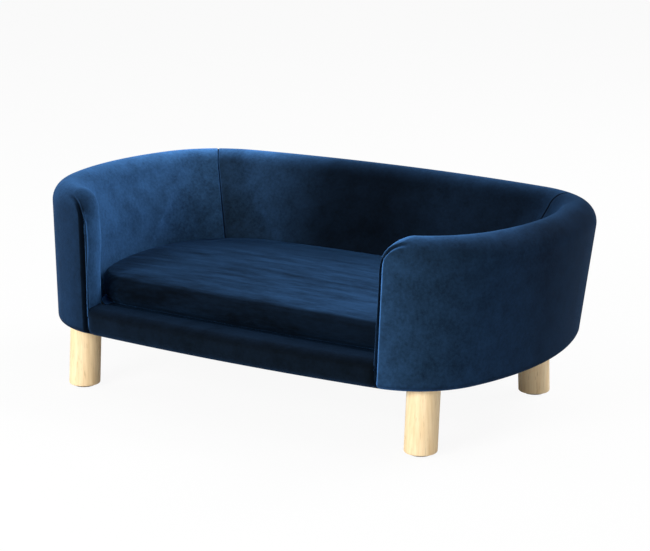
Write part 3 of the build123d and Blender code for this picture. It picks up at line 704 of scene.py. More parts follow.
def arm_with_seams(*columns):
    """The arm's skin with its seams drawn in. Each is a groove whose depth falls off with the distance
    from it as exp(-d^2 / w^2). All points near one place of the front seam move the same way, so its
    sides never cross."""
    skin, seam_column = arm(*columns)
    out = normals(skin)
    finer = np.linspace(0, rim_rows.stop - 1, FINER * rim_rows.stop)
    low, share = finer.astype(int), (finer % 1)[:, None, None]
    high = np.minimum(low + 1, rim_rows.stop - 1)
    edge = slice(columns[1] - NEAR_END, None)
    points, ways = [(grid[low, edge] * (1 - share) + grid[high, edge] * share).reshape(-1, 3)
                    for grid in (skin, out)]
    in_front = (ways[:, 1] < FACES_FRONT) & (points[:, 0] < END_HALF + 60)
    front, front_ways = points[in_front], ways[in_front]
    line, depths = front_seam_line(skin[:rim_rows.start, seam_column])
    apart = (front[None, :, 0] - line[:, None, 0]) ** 2 + (front[None, :, 2] - line[:, None, 1]) ** 2
    nearest = apart.argmin(1)
    seam = np.stack([line[:, 0], front[nearest, 1], line[:, 1]], -1)

    def smoothed(values):
        """Each value as the mean of those round it."""
        return np.convolve(np.pad(values, SMOOTHED // 2, "edge"), np.ones(SMOOTHED) / SMOOTHED, "valid")

    seam[:, 1] = smoothed(seam[:, 1])
    inward = -unit(np.stack([smoothed(way) for way in front_ways[nearest].T], -1))
    near = skin[:, edge]
    distance = ((near[..., None, :] - seam) ** 2).sum(-1)
    place = distance.argmin(-1)
    depth = depths[place] * np.exp(-distance.min(-1) / GROOVE_WIDTH ** 2)
    near += inward[place] * (depth * GROOVE)[..., None]
    marks = np.zeros(skin.shape[:2])
    marks[:, edge] = depth
    steps = np.linalg.norm(np.diff(skin, axis=1), axis=-1)
    along = np.concatenate([np.zeros((len(skin), 1)), np.cumsum(steps, 1)], 1)
    corner = np.exp(-(along / CORNER_SEAM_WIDTH) ** 2)
    skin -= out * (corner * CORNER_SEAM_DEPTH)[..., None]
    return skin, seam_column, np.maximum(marks, corner)


WALL_COLUMNS, EDGE_COLUMNS, FACE_COLUMNS = 140, 12, 12
corner_seam = 1 + (CORNER_SEAM_ANGLE - RIM.start[1]) / (RIM.stop[1] - RIM.start[1])
right_arm, front_seam, right_marks = arm_with_seams(corner_seam, WALL_COLUMNS, EDGE_COLUMNS, FACE_COLUMNS)
right_out = normals(right_arm)
facing_rows = slice(round_rows.start, inner_rows.stop)
print("arm:", right_arm.shape[0], "x", right_arm.shape[1], "points")

# %% [markdown]
# The right arm is worked out once and the left one is its mirror image. Each is cut along the column of its
# front seam into the wall's cover and the facing. The back is a plain stretch of wall between the two rear
# seams. Each seam is painted darker, as painted shade in its groove, and it is drawn in as a shallow groove
# too, because the light shows it best.

# %% Make the covers of the wall
BACK_COLUMNS = 170


def mirrored(values, flip=True):
    """The same grid on the left: X changes sign unless flip is off, and the columns run the other way, so
    that the faces stay outwards."""
    return values[:, ::-1] * np.array([-1, 1, 1]) if flip else values[:, ::-1]


left_arm, left_out, left_marks = mirrored(right_arm), mirrored(right_out), mirrored(right_marks, False)
left_seam = left_arm.shape[1] - 1 - front_seam
covers = {
    "wall_cover_right": [grid[:, :front_seam + 1] for grid in (right_arm, right_out, right_marks)],
    "wall_cover_left": [grid[:, left_seam:] for grid in (left_arm, left_out, left_marks)],
    "arm_facing_right": [grid[facing_rows, front_seam:] for grid in (right_arm, right_out, right_marks)],
    "arm_facing_left": [grid[facing_rows, :left_seam + 1] for grid in (left_arm, left_out, left_marks)],
}

back_length = length_to(corner_seam) * (2 * eased(BACK_COLUMNS) - 1)
back = wall(np.broadcast_to(place_after(back_length), (ENDS[-1], len(back_length))))
to_seam = length_to(corner_seam) - np.abs(back_length)
back_marks = np.broadcast_to(np.exp(-(to_seam / CORNER_SEAM_WIDTH) ** 2), back.shape[:2])
back = back - normals(back) * back_marks[..., None] * CORNER_SEAM_DEPTH
covers["wall_cover_back"] = [back, normals(back), back_marks]

# %% [markdown]
# Each cover gets painted light and shade: a number on the points that changes slowly along the wall and
# from the outside to the inside, and the velvet is that much paler or darker. It stands in part for the
# pile, which looks paler where it lies towards the light than where it lies away from it, and each cover
# was brushed on its own. The pile could be turned by a tangent map in the shader instead; the number is
# easier to set.

# %% Painted light and shade on the walls
# Painted light and shade on the walls, standing in part for the pile: paleness of the outside and of the
# inside at lengths along the rim, and across the back.
AROUND = [240, 300, 380, 440, 500, 560, 610, 650, 690]      # about the length along the rim
PAINTED_LIGHT_OUTSIDE = {"right": [0.38, 0.28, 0.08, 0.05, 0.22, 0.72, 1.75, 2.5, 3.9],
               "left": [0.4, 0.35, 0.27, 0.25, 0.22, 0.2, 0.2, 0.4, 1.5]}
PAINTED_LIGHT_INSIDE = {"right": [0.3, 0.25, 0.2, 0.2, 0.25, 0.4, 0.6, 0.8, 0.8],
              "left": [6.4, 5.6, 3.5, 2.6, 1.75, 1.3, 1.25, 1.5, 1.7]}
ACROSS_BACK = [-250, -190, -140, -90, 0, 100, 250]
PAINTED_LIGHT_BACK = [2.9, 2.7, 1.3, 0.38, 0.22, 0.45, 0.3]
PAINTED_LIGHT_BACK_OUTSIDE = 0.5
PAINTED_LIGHT_CENTRE = 20             # Y of the point that the places along the wall are seen from
PAINTED_LIGHT_TURNS = [30, 150]       # degrees round it where AROUND starts and ends
# painted shade: darker low on the inside and where the cover turns under
PAINTED_SHADE_TOP_HEIGHT = 170       # the inside gets darker from here down to the deck
PAINTED_SHADE_AT_DECK = 0.6
PAINTED_SHADE_UNDER = 0.7             # how much of it is lost where the cover turns under
TURNED_UNDER = 0.4          # how far down, as its normal's Z, counts as fully turned under
going_in = np.zeros(ENDS[-1])
going_in[rim_rows] = RIM_SHARE
going_in[inner_rows] = 1


def nap_and_painted_light_of(name, grid):
    """How much paler or darker a cover is painted, as painted light and shade that stands in part for how
    its pile lies. There is a value for the outside and one for the inside, read off along the wall and
    mixed by how far a row has gone over the top, less one. Except on the back, a cover is painted darker
    where it turns under, and except on a facing its inside is darker towards the deck, both painted shade.
    A facing is all inside."""
    facing = "facing" in name
    inside = np.ones(grid.shape[0]) if facing else going_in
    if "back" in name:
        within = np.interp(grid[..., 0], ACROSS_BACK, PAINTED_LIGHT_BACK)
        return PAINTED_LIGHT_BACK_OUTSIDE + (within - PAINTED_LIGHT_BACK_OUTSIDE) * inside[:, None] - 1
    side = "left" if "left" in name else "right"
    turned = np.abs(np.degrees(np.arctan2(grid[..., 1] - PAINTED_LIGHT_CENTRE, np.abs(grid[..., 0]))) - 90)
    along = np.interp(turned, PAINTED_LIGHT_TURNS, [AROUND[0], AROUND[-1]])
    outside, within = [np.interp(along, AROUND, table[side]) for table in (PAINTED_LIGHT_OUTSIDE, PAINTED_LIGHT_INSIDE)]
    if not facing:
        within = within * np.interp(grid[..., 2], [DECK_HEIGHT, PAINTED_SHADE_TOP_HEIGHT], [PAINTED_SHADE_AT_DECK, 1])
    under = np.clip(-normals(grid)[..., 2] / TURNED_UNDER, 0, 1)
    return (outside + (within - outside) * inside[:, None]) * (1 - PAINTED_SHADE_UNDER * under) - 1


for name, (grid, out, marks) in covers.items():
    finish = back_velvet if "back" in name else wall_velvet
    piece = sheet_piece(name + "_velvet", grid, COVER, finish, out, marks, nap_and_painted_light_of(name, grid))
    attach(piece, "sofa")
    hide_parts(name)
    print(piece.name, len(piece.data.polygons), "faces")

# %% [markdown]
# The foam under a cover has the cover's own shape, so it is the same grid moved in by the cloth's
# thickness. It stops short of the seams, where the cloth is drawn in further than the foam would be, and
# has no turned-in lip.

# %% Foam of the wall
FOAM = 4.5
FOAM_GAP = 0.4              # between the cloth and the foam
for side in ("left", "back", "right"):
    off_seams = covers["wall_cover_" + side][2].max(0) < 0.02
    grid, out, _ = [values[lip_rows.stop:, off_seams] for values in covers["wall_cover_" + side]]
    foam = sheet_piece("wall_padding_" + side, grid - out * (COVER + FOAM_GAP), FOAM, foam_finish, out)
    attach(foam, "sofa")
    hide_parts("wall_foam_" + side)
    print(foam.name, len(foam.data.polygons), "faces")

# %% [markdown]
# ## The front: apron, ledge and deck
#
# Between the arms the cover rises from its turned-in lip, goes round the soft front edge of the ledge,
# over its low crown and down behind it to the deck. It is one strip of cloth, so it is one grid: across
# the front in columns, and up and over in rows.

# %% Front cover
LEDGE_CREST = 115.8
LEDGE_FRONT_ROUND = (14.0, 10.0)    # how deep and how high the soft front edge is
LEDGE_BACK = -175.5
LEDGE_BACK_ROUND = 4.5
APRON_DIP = 4.5             # the strip dips in beside the arms over this length
APRON_TUCK = 2.0            # the strip's ends run this far in behind the arms' edges
APRON_TAIL = 25.0           # how far the cloth runs back under the cushion
APRON_LIFT = 0.12           # it lies this much above the deck's cloth there
FRONT_RISE = 7.7            # the middle of the rim is this much higher in front than in the back
FRONT_FOAM = 2.5


def front_face(x, height):
    """How far forward the plain face is: the two front bows, mixed by height."""
    rows = []
    for outline, extra in ((FOOT, 0.0), (RIM, RIM_RADIUS)):
        radius = outline.radius[4]
        rows.append(outline.y[4] - np.sqrt(radius ** 2 - x ** 2) - extra)
    share = (height - LEG_HEIGHT) / (RIM_BACK_HEIGHT + FRONT_RISE - LEG_HEIGHT)
    return rows[0] + (rows[1] - rows[0]) * share


def front_strip(columns):
    """The strip over the front, as rows of (x, y, z). A row of the face is a height and an inset from the
    plain face; both go round quarter circles by the sine and one minus the cosine."""
    across = 2 * eased(columns) - 1
    deep, high = LEDGE_FRONT_ROUND
    quarter = np.radians(np.linspace(0, 90, 9))
    rows = []
    for inset in LIP_INSET:
        rows.append((LEG_HEIGHT, inset))
    for angle in ROUND_ANGLE:
        up, back = 1 - np.cos(angle), 1 - np.sin(angle)
        rows.append((LEG_HEIGHT + BOTTOM_ROUND * up, BOTTOM_ROUND * back))
    for height in np.linspace(LEG_HEIGHT + BOTTOM_ROUND, LEDGE_CREST - high, 6)[:-1]:
        rows.append((height, 0.0))
    for angle in quarter:
        rows.append((LEDGE_CREST - high * (1 - np.sin(angle)), deep * (1 - np.cos(angle))))
    height, inset = np.array(rows).T
    half = end_line(height) + FRONT_ROUND * (1 - np.sin(SEAM_TURN)) + APRON_TUCK
    x = half[:, None] * across
    y = front_face(x, height[:, None]) + inset[:, None]
    z = np.broadcast_to(height[:, None], x.shape)
    first = np.stack([x, y, z], -1)
    to_end = half[:, None] - np.abs(x)
    drop = FRONT_ROUND * (1 - np.cos(SEAM_TURN)) + GROOVE + APRON_TUCK
    dip = drop * np.exp(-(to_end / APRON_DIP) ** 1.5)
    first[..., 1] += dip * np.clip((LEDGE_CREST - z) / high, 0, 1)
    top_x = x[-1]
    start_y = first[-1, :, 1]
    ledge = []

    def row(y, z):
        """One more row of the ledge."""
        ledge.append(np.stack([top_x, np.broadcast_to(y, top_x.shape), np.full_like(top_x, z)], -1))

    for share in np.linspace(0, 1, 7)[1:]:
        row(start_y + (LEDGE_BACK - LEDGE_BACK_ROUND - start_y) * share, LEDGE_CREST)
    for angle in quarter[1:]:
        row(LEDGE_BACK - LEDGE_BACK_ROUND * (1 - np.sin(angle)),
            LEDGE_CREST - LEDGE_BACK_ROUND * (1 - np.cos(angle)))
    for back in (0.5, APRON_TAIL):
        row(LEDGE_BACK + back, DECK_HEIGHT + APRON_LIFT)
    return np.concatenate([first, np.stack(ledge)])


print("the ledge is", round(LEDGE_CREST - DECK_HEIGHT, 1), "mm higher than the deck")

# %% [markdown]
# The top of the ledge is painted darker than its front, as painted shade: the paleness goes down with the
# normal's Z. The foam under the cloth is the same strip moved in, with half as many rows and columns.

# %% Make the front cover and its foam
FRONT_COLUMNS = 120
strip = front_strip(FRONT_COLUMNS)[:, ::-1]
# painted shade: the more the cloth faces up, the darker it is made
PAINTED_SHADE_ON_TOP = 0.5
painted_top_shade = -PAINTED_SHADE_ON_TOP * np.clip(normals(strip)[..., 2], 0, 1)
apron = sheet_piece("front_cover_velvet", strip, COVER, apron_velvet, nap_and_painted_light=painted_top_shade)
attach(apron, "sofa")
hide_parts("front_cover")
padded_rows = strip[lip_rows.stop:-2]
under = padded_rows - normals(padded_rows) * (COVER + FOAM_GAP)
front_padding = sheet_piece("front_padding", under[::2, ::2], FRONT_FOAM, foam_finish)
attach(front_padding, "sofa")
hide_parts("front_foam")
print("front:", len(apron.data.polygons), "faces and", len(front_padding.data.polygons), "of foam")

# %% [markdown]
# ## Cushion
#
# The cushion is a box of foam in a velvet cover. It fills the well, so its outline is the well's, a
# little smaller. It could be a scaled cube with a Bevel modifier, but its plan is the well's own, so it
# is built of rings instead: out from the middle of the underside, round the lower edge, up the side, and
# in over the crowned top.

# %% The cushion's surface
CUSHION_GAP = 2.2
CUSHION_CORNER_EASE = 2.0   # its front corners stand back by this much more
CORNER_PLACE = 3.5          # the middle of the front corner, and how far round it the ease is felt
CORNER_SPREAD = 0.42
CUSHION_LOW = DECK_HEIGHT + 0.3
CUSHION_HIGH = CUSHION_LOW + 37.5
CUSHION_CROWN = 4.0
CROWN_POWER = 1.6           # a higher one gathers the crown towards the middle
TOP_ROUND = 10.0
UNDER_ROUND = 8.0
INNER_SIDE_TOP = RIM_BACK_HEIGHT + 5    # about where the straight inner side of the wall ends
CUSHION_COLUMNS = 300


def well_outline(place, height):
    """The wall of the well at a height: the deck's outline and the rim's inner one, mixed."""
    deck, out = DECK.at(place)
    rim, rim_out = RIM.at(place)
    share = (height - DECK_HEIGHT) / (INNER_SIDE_TOP - DECK_HEIGHT)
    rim = rim - rim_out * RIM_RADIUS
    return deck + (rim - deck) * share, out


def cushion_surface(columns, inset=0.0):
    """Rings from the middle of the underside, round the edges, to the middle of the top. The front
    corners stand back a little: by the ease times exp(-d^2) of the distance d in place from the
    corner. The crown rises by (1 - share^2) to a power, where share is the size of the ring."""
    lengths = np.linspace(-ARC_ENDS[-1], ARC_ENDS[-1], columns + 1)[:-1]
    place = place_after(lengths)
    rings = []
    low, high = CUSHION_LOW + inset, CUSHION_HIGH - inset
    under, top = UNDER_ROUND - inset / 2, TOP_ROUND - inset / 2

    def ring(height, edge, share=1.0, rise=0.0):
        """One more ring: edge moves it inwards, share makes it smaller about its middle."""
        outline, out = well_outline(place, height)
        at_corner = np.exp(-((np.abs(place) - CORNER_PLACE) / CORNER_SPREAD) ** 2)[:, None]
        outline = outline - out * (CUSHION_GAP + inset + edge + CUSHION_CORNER_EASE * at_corner)
        centre = (outline.max(0) + outline.min(0)) / 2
        outline = centre + (outline - centre) * share
        rings.append(np.concatenate([outline, np.full((columns, 1), height + rise)], 1))

    for share in np.linspace(0, 1, 14)[:-1]:
        ring(low, under, share)
    for angle in np.radians(np.linspace(0, 90, 5)):
        ring(low + under * (1 - math.cos(angle)), under * (1 - math.sin(angle)))
    for height in np.linspace(low + under, high - top, 6)[1:-1]:
        ring(height, 0.0)
    for angle in np.radians(np.linspace(0, 90, 8)):
        ring(high - top * (1 - math.sin(angle)), top * (1 - math.cos(angle)))
    for share in np.linspace(1, 0, 30)[1:]:
        ring(high, top, share, CUSHION_CROWN * (1 - share ** 2) ** CROWN_POWER)
    return np.stack(rings)


def ring_faces(rings):
    """The cells between rings, facing outwards."""
    return quads(*rings.shape[:2], 0, True)[:, ::-1]


def closed_piece(name, rings, finish):
    """A closed body from rings whose first and last are single points."""
    return new_piece(name, rings.reshape(-1, 3), ring_faces(rings), finish, merge=True)


print("the cushion's form is", cushion_surface(CUSHION_COLUMNS).shape[0], "rings")

# %% [markdown]
# The cushion could be left as this plain form. Cloth under a little pressure gives it the slight
# unevenness of stuffing, so the form is remeshed into even cells, blown up by the Cloth modifier for
# twenty frames, and held within a few millimetres of where it started.

# %% Blow up the cushion
PUFF = 2.2                  # the most that a point may move
SINK = 0.3                  # the most that it may move inwards
CELL = 0.005                # metres, of the remeshed form
PRESSURE = 4.0
FRAMES = 20
ROOM_TO_PUFF = 1.2          # the form starts this much smaller


def applied(piece, name):
    """The points and faces of a piece with its modifiers applied, in millimetres."""
    bpy.context.view_layer.update()
    piece = piece.evaluated_get(bpy.context.evaluated_depsgraph_get())
    mesh = bpy.data.meshes.new_from_object(piece)
    mesh.name = name
    points = np.zeros(len(mesh.vertices) * 3)
    mesh.vertices.foreach_get("co", points)
    return points.reshape(-1, 3) / MM, mesh


def puffed(rings):
    """Points and faces of the cushion after the cloth has been blown up. The part of a move that goes
    further inwards than SINK is taken back, and a move longer than PUFF is cut to it."""
    start = closed_piece("cushion_start", rings, cushion_velvet)
    even = start.modifiers.new("even", "REMESH")
    even.mode = "VOXEL"
    even.voxel_size = CELL
    before, mesh = applied(start, "cushion_even")
    bpy.data.objects.remove(start)
    piece = bpy.data.objects.new("cushion_cloth", mesh)
    bpy.context.scene.collection.objects.link(piece)
    cloth = piece.modifiers.new("cloth", "CLOTH")
    cloth.settings.use_pressure = True
    cloth.settings.uniform_pressure_force = PRESSURE
    cloth.settings.effector_weights.gravity = 0
    for frame_number in range(1, FRAMES + 1):
        bpy.context.scene.frame_set(frame_number)
    after, _ = applied(piece, "cushion_blown")
    piece.modifiers.clear()
    bpy.context.scene.frame_set(1)
    outwards = np.zeros(len(mesh.vertices) * 3)
    mesh.vertex_normals.foreach_get("vector", outwards)
    outwards = outwards.reshape(-1, 3)
    move = after - before
    sunk = np.minimum((move * outwards).sum(1) + SINK, 0)
    move = move - outwards * sunk[:, None]
    size = np.linalg.norm(move, axis=1, keepdims=True)
    points = before + move * np.minimum(1, PUFF / np.maximum(size, 1e-6))
    points[:, 2] = np.maximum(points[:, 2], CUSHION_LOW)
    mesh.vertices.foreach_set("co", (points * MM).ravel())
    finer = piece.modifiers.new("finer", "SUBSURF")
    finer.levels = finer.render_levels = 1
    points, finer_mesh = applied(piece, "cushion_cover_velvet")
    bpy.data.objects.remove(piece)
    faces = np.zeros(len(finer_mesh.loops), int)
    finer_mesh.loops.foreach_get("vertex_index", faces)
    return points, faces.reshape(-1, 4)


print("the cloth may move by", PUFF, "mm in", FRAMES, "frames")

# %% [markdown]
# Seams and the recess of the zip are drawn in after the cloth has settled. Sewing springs could pull them
# in during the simulation, but a formula puts them exactly where the zip's parts lie in the frame.

# %% Seams, zip, and painted light and shade of the cushion
# The seams are drawn in and also painted darker, as painted shade in their grooves.
SEAM_HEIGHTS = (CUSHION_LOW + 5.5, CUSHION_HIGH - 3.5)
SEAM_WIDTH = 1.7
SEAM_DEPTH = 1.2
SEAM_PAINTED_SHADE_SHARE = 0.6
SEAM_REACH = (262, 140)     # half length and half depth of the cushion, about
SEAM_FROM = 0.55            # of the formula below that tells the sides from the middle
ZIP_WINDOW = (154.0, 8.6)   # half length and half height of the recess
ZIP_CLEARANCE = 0.1
ZIP_MARGIN = 2.0            # the recess's own edge lies this far outside its window
ZIP_EDGE = 3.0              # and it gets deep over this length
# Painted light and shade of the cushion: the top's value, how much paler to the right and darker to the
# back, and the sides' darker value.
CUSHION_PAINTED_LIGHT, PAINTED_LIGHT_TO_RIGHT, PAINTED_SHADE_TO_BACK, SIDE_PAINTED_SHADE = 0.56, 0.22, 0.36, 0.3
PAINTED_LIGHT_HALF_LENGTH, PAINTED_LIGHT_HALF_DEPTH = 260, 110
PAINTED_LIGHT_TOP_EDGE = 6            # height over which the top's nap goes over into the sides'


def with_seams_and_zip(points):
    """Two sewn lines round the sides, drawn in by a millimetre, and the recess that the zip lies in. A
    point is at the side where (x / a)^4 + (y / b)^4, which is about one at the edge, is over a half. Also
    gives the seams' marks, which the velvet paints with shade."""
    marks = np.zeros(len(points))
    side = points[:, :2] - points[:, :2].mean(0)
    for height in SEAM_HEIGHTS:
        mark = np.exp(-((points[:, 2] - height) / SEAM_WIDTH) ** 2)
        edge = np.abs(side[:, 0] / SEAM_REACH[0]) ** 4 + np.abs(side[:, 1] / SEAM_REACH[1]) ** 4 > SEAM_FROM
        marks = np.maximum(marks, mark * edge)
    points = points.copy()
    points[:, :2] -= unit(side) * (marks * SEAM_DEPTH)[:, None]
    tape_low, tape_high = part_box("zip_tape")
    floor_y = tape_low.y / MM - ZIP_CLEARANCE
    middle = (tape_low.z + tape_high.z) / 2 / MM
    half_length, half_height = ZIP_WINDOW
    inside = smooth_step((half_length + ZIP_MARGIN - np.abs(points[:, 0])) / ZIP_EDGE)
    inside *= smooth_step((half_height + ZIP_MARGIN - np.abs(points[:, 2] - middle)) / ZIP_EDGE)
    inside *= points[:, 1] > floor_y
    points[:, 1] += (floor_y - points[:, 1]) * inside
    return points, marks * (1 - inside) * SEAM_PAINTED_SHADE_SHARE


def painted_light_of_cushion(points):
    """Painted light and shade on the cushion, standing in part for its pile: the top is paler towards the
    right and darker towards the back, and the sides are dark.
    """
    to_right, to_back = points[:, 0] / PAINTED_LIGHT_HALF_LENGTH, smooth_step(points[:, 1] / PAINTED_LIGHT_HALF_DEPTH)
    top = CUSHION_PAINTED_LIGHT + PAINTED_LIGHT_TO_RIGHT * to_right - PAINTED_SHADE_TO_BACK * to_back
    on_top = smooth_step((points[:, 2] - CUSHION_HIGH + PAINTED_LIGHT_TOP_EDGE) / PAINTED_LIGHT_TOP_EDGE)
    return SIDE_PAINTED_SHADE + (top - SIDE_PAINTED_SHADE) * on_top - 1


print("seams at", [round(height, 1) for height in SEAM_HEIGHTS], "mm above the floor")

# %% Make the cushion
cushion_points, cushion_faces = puffed(cushion_surface(CUSHION_COLUMNS, inset=ROOM_TO_PUFF))
cushion_points, cushion_marks = with_seams_and_zip(cushion_points)
cushion_painted_light = painted_light_of_cushion(cushion_points)
cushion = new_piece("cushion_cover_velvet", cushion_points, cushion_faces, cushion_velvet, merge=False,
                    marks={"seam": cushion_marks, "nap_and_painted_light": cushion_painted_light})
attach(cushion, "cushion")
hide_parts("cushion_cover")
print("cushion:", len(cushion.data.polygons), "faces")

# %% [markdown]
# ## Foam, deck cloth and lining
#
# These are seen only with the cushion out or from below, but they are pieces of their own. A foam block
# and a stretched cloth are both a rounded outline with two flat sides, so one function makes them all. A
# cloth could be let fall over the foam in a simulation, but it is stapled tight here and has no folds.

# %% Flat pieces
DECK_CLOTH = 1.5
LINING = 0.8
LINING_INSET = 10.0


def flat_piece(name, outline, low, high, edge, finish, columns=200):
    """A closed slab: rings from the middle of the underside to its edge, a small bevel, and back over the
    top. Also gives, in metres, the outline's length and depth and its area, which is half the sum of
    x1 y2 - x2 y1 round it."""
    place = place_after(np.linspace(-ARC_ENDS[-1], ARC_ENDS[-1], columns + 1)[:-1])
    line, out = outline.at(place)
    levels = [(low, edge, share) for share in np.linspace(0, 1, 8)]
    levels += [(low + edge, 0.0, 1.0), (high - edge, 0.0, 1.0)]
    levels += [(high, edge, share) for share in np.linspace(1, 0, 8)]
    rings = []
    for height, inset, share in levels:
        ring = line - out * inset
        centre = (ring.max(0) + ring.min(0)) / 2
        rings.append(np.concatenate([centre + (ring - centre) * share, np.full((columns, 1), height)], 1))
    piece = closed_piece(name, np.stack(rings), finish)
    x, y = line.T
    area = abs((x * np.roll(y, -1) - np.roll(x, -1) * y).sum()) / 2 * MM ** 2
    return piece, tuple((np.ptp(line, axis=0) * MM).tolist()), area


def smaller_outline(outline, inset):
    """An outline moved inwards, square to itself: every radius is less by the inset."""
    moved = Outline.__new__(Outline)
    moved.__dict__.update(outline.__dict__)
    moved.radius = outline.radius - inset
    return moved


lining_outline = smaller_outline(FOOT, LINING_INSET)
print("the lining's edge is", LINING_INSET, "mm in from the sofa's")

# %% Make the deck and the lining
foam_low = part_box("deck_foam")[0].z / MM + 0.1
foam_high = DECK_HEIGHT - DECK_CLOTH - 0.1
deck_padding, _, _ = flat_piece("deck_padding", DECK, foam_low, foam_high, 1.0, foam_finish)
deck_sheet, deck_size, deck_area = flat_piece(
    "deck_sheet", DECK, DECK_HEIGHT - DECK_CLOTH, DECK_HEIGHT, 0.4, wall_velvet)
under_sheet, under_size, under_area = flat_piece(
    "under_lining", lining_outline, LEG_HEIGHT - LINING, LEG_HEIGHT, 0.2, lining)
for piece, node, slot in ((deck_padding, "deck_foam", "foam"), (deck_sheet, "deck_cloth", "velvet"),
                          (under_sheet, "dust_cover", "lining_cloth")):
    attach(piece, "sofa")
    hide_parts(node)
for name, size, area in (("deck cloth", deck_size, deck_area), ("lining", under_size, under_area)):
    print(f"{name}: {size[0]:.3f} by {size[1]:.3f} m, {area:.3f} square metres")

# %% [markdown]
# Inside the cushion's cover is one block of foam. It could be cut from the blown-up cover, but the plain
# form, a little smaller, is what a foam cutter would make. Behind the zip it is flat, so that the coil and
# the slider have room.

# %% Filling of the cushion
FILLING_INSET = 3.4
BEHIND_ZIP = 0.0015         # metres between the zip's tape and the foam
filling_rings = cushion_surface(CUSHION_COLUMNS // 2, inset=FILLING_INSET)
filling = closed_piece("cushion_filling", filling_rings, foam_finish)
filling_points = np.zeros(len(filling.data.vertices) * 3)
filling.data.vertices.foreach_get("co", filling_points)
filling_points = filling_points.reshape(-1, 3)
behind = np.abs(filling_points[:, 0]) < ZIP_WINDOW[0] * MM + 0.004
flat_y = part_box("zip_tape")[0].y - BEHIND_ZIP
filling_points[behind, 1] = np.minimum(filling_points[behind, 1], flat_y)
filling.data.vertices.foreach_set("co", filling_points.ravel())
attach(filling, "cushion")
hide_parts("cushion_foam")
print("filling:", len(filling.data.polygons), "faces")

# %% [markdown]
# The zip's coil is sewn on a woven tape. The coil, the stops and the slider come from the frame; the tape
# is cloth, so it is a thin sheet of its own, stretched flat in the recess.

# %% Tape of the zip
TAPE_COLUMNS, TAPE_ROWS = 121, 9
tape_low, tape_high = [np.array(corner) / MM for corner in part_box("zip_tape")]
tape_grid = np.zeros((TAPE_ROWS, TAPE_COLUMNS, 3))
tape_grid[..., 0] = np.linspace(tape_low[0], tape_high[0], TAPE_COLUMNS)
tape_grid[..., 1] = tape_high[1]
tape_grid[..., 2] = np.linspace(tape_low[2], tape_high[2], TAPE_ROWS)[:, None]
tape = sheet_piece("zip_tape_strip", tape_grid, tape_high[1] - tape_low[1], tape_cloth)
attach(tape, "cushion")
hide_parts("zip_tape")
print("tape:", round(tape_high[0] - tape_low[0]), "mm long")

# %% [markdown]
# ## Wood, board, metal and lining
#
# The hard pieces come from the frame as they are and only need their finishes. The legs are the ones that
# are seen most: pale turned wood with the grain running up them. Grain is noise stretched along one axis,
# which is how wood grows. A Wave pattern bent by noise would give rings too, but shows its regular beat
# on so small a leg.

# %% Wood
def pale_wood():
    """Pale wood: rings and fibres stretched along Z are added for the grain, with short dark pores over
    it."""
    finish = Finish("leg_wood", Roughness=0.5, Specular_IOR_Level=0.4)
    rings = finish.noise(30.0, 4.0, 0.55, (1.0, 1.0, 0.12), distortion=0.8)
    fibres = finish.noise(260.0, 3.0, 0.6, (1.0, 1.0, 0.06))
    pores = finish.noise(700.0, 2.0, 0.5, (1.0, 1.0, 0.05))
    grain = finish.math("MULTIPLY_ADD", fibres, 0.5, finish.math("MULTIPLY", rings, 0.5))
    tones = [(0.3, srgb(230, 196, 146)), (0.5, srgb(247, 219, 174)), (0.7, srgb(254, 238, 203))]
    colour = finish.ramp(grain, tones)
    dark = finish.ramp(pores, [(0.30, (0.55, 0.45, 0.33, 1)), (0.38, (1, 1, 1, 1))])
    finish.to("Base Color", finish.mix(0.5, colour, dark, "MULTIPLY"))
    finish.to("Normal", finish.bump(fibres, 0.0003, 0.3))
    return finish.material


def plain_wood(name, light, dark, stretch):
    """Sawn wood or board, with grain stretched along one axis."""
    finish = Finish(name, Roughness=0.7, Specular_IOR_Level=0.3)
    grain = finish.noise(60.0, 4.0, 0.6, stretch, distortion=0.5)
    finish.to("Base Color", finish.ramp(grain, [(0.3, srgb(*dark)), (0.7, srgb(*light))]))
    finish.to("Normal", finish.bump(grain, 0.0005, 0.3))
    return finish.material


leg_wood = pale_wood()
plywood = plain_wood("plywood", (214, 182, 138), (178, 142, 98), (0.15, 1, 6))
frame_wood = plain_wood("frame_wood", (222, 194, 148), (190, 156, 108), (1, 1, 0.1))
hardboard = plain_wood("hardboard", (136, 96, 62), (104, 70, 44), (1, 1, 1))
print("woods:", leg_wood.name, plywood.name, frame_wood.name, hardboard.name)

# %% [markdown]
# Screws, staples and nuts are plated steel, the glides and the zip's coil are moulded plastic. One plain
# colour would do for such small things. A cloudy noise on the colour and the roughness costs nothing, and
# keeps them from looking like a drawing when the camera comes close.

# %% Metal and plastic
def metal(name, light, dark, roughness):
    """Plated steel with a cloudy finish."""
    finish = Finish(name, Metallic=1.0)
    cloud = finish.noise(180.0, 3.0)
    finish.to("Base Color", finish.ramp(cloud, [(0.3, srgb(*dark)), (0.7, srgb(*light))]))
    finish.to("Roughness", finish.math("MULTIPLY_ADD", cloud, 0.2, roughness))
    return finish.material


def plastic(name, light, dark, roughness):
    """Moulded plastic with a fine texture."""
    finish = Finish(name, Specular_IOR_Level=0.45)
    grain = finish.noise(900.0, 2.0)
    finish.to("Base Color", finish.ramp(grain, [(0.3, srgb(*dark)), (0.7, srgb(*light))]))
    finish.to("Roughness", finish.math("MULTIPLY_ADD", grain, 0.2, roughness))
    finish.to("Normal", finish.bump(grain, 0.0001, 0.4))
    return finish.material


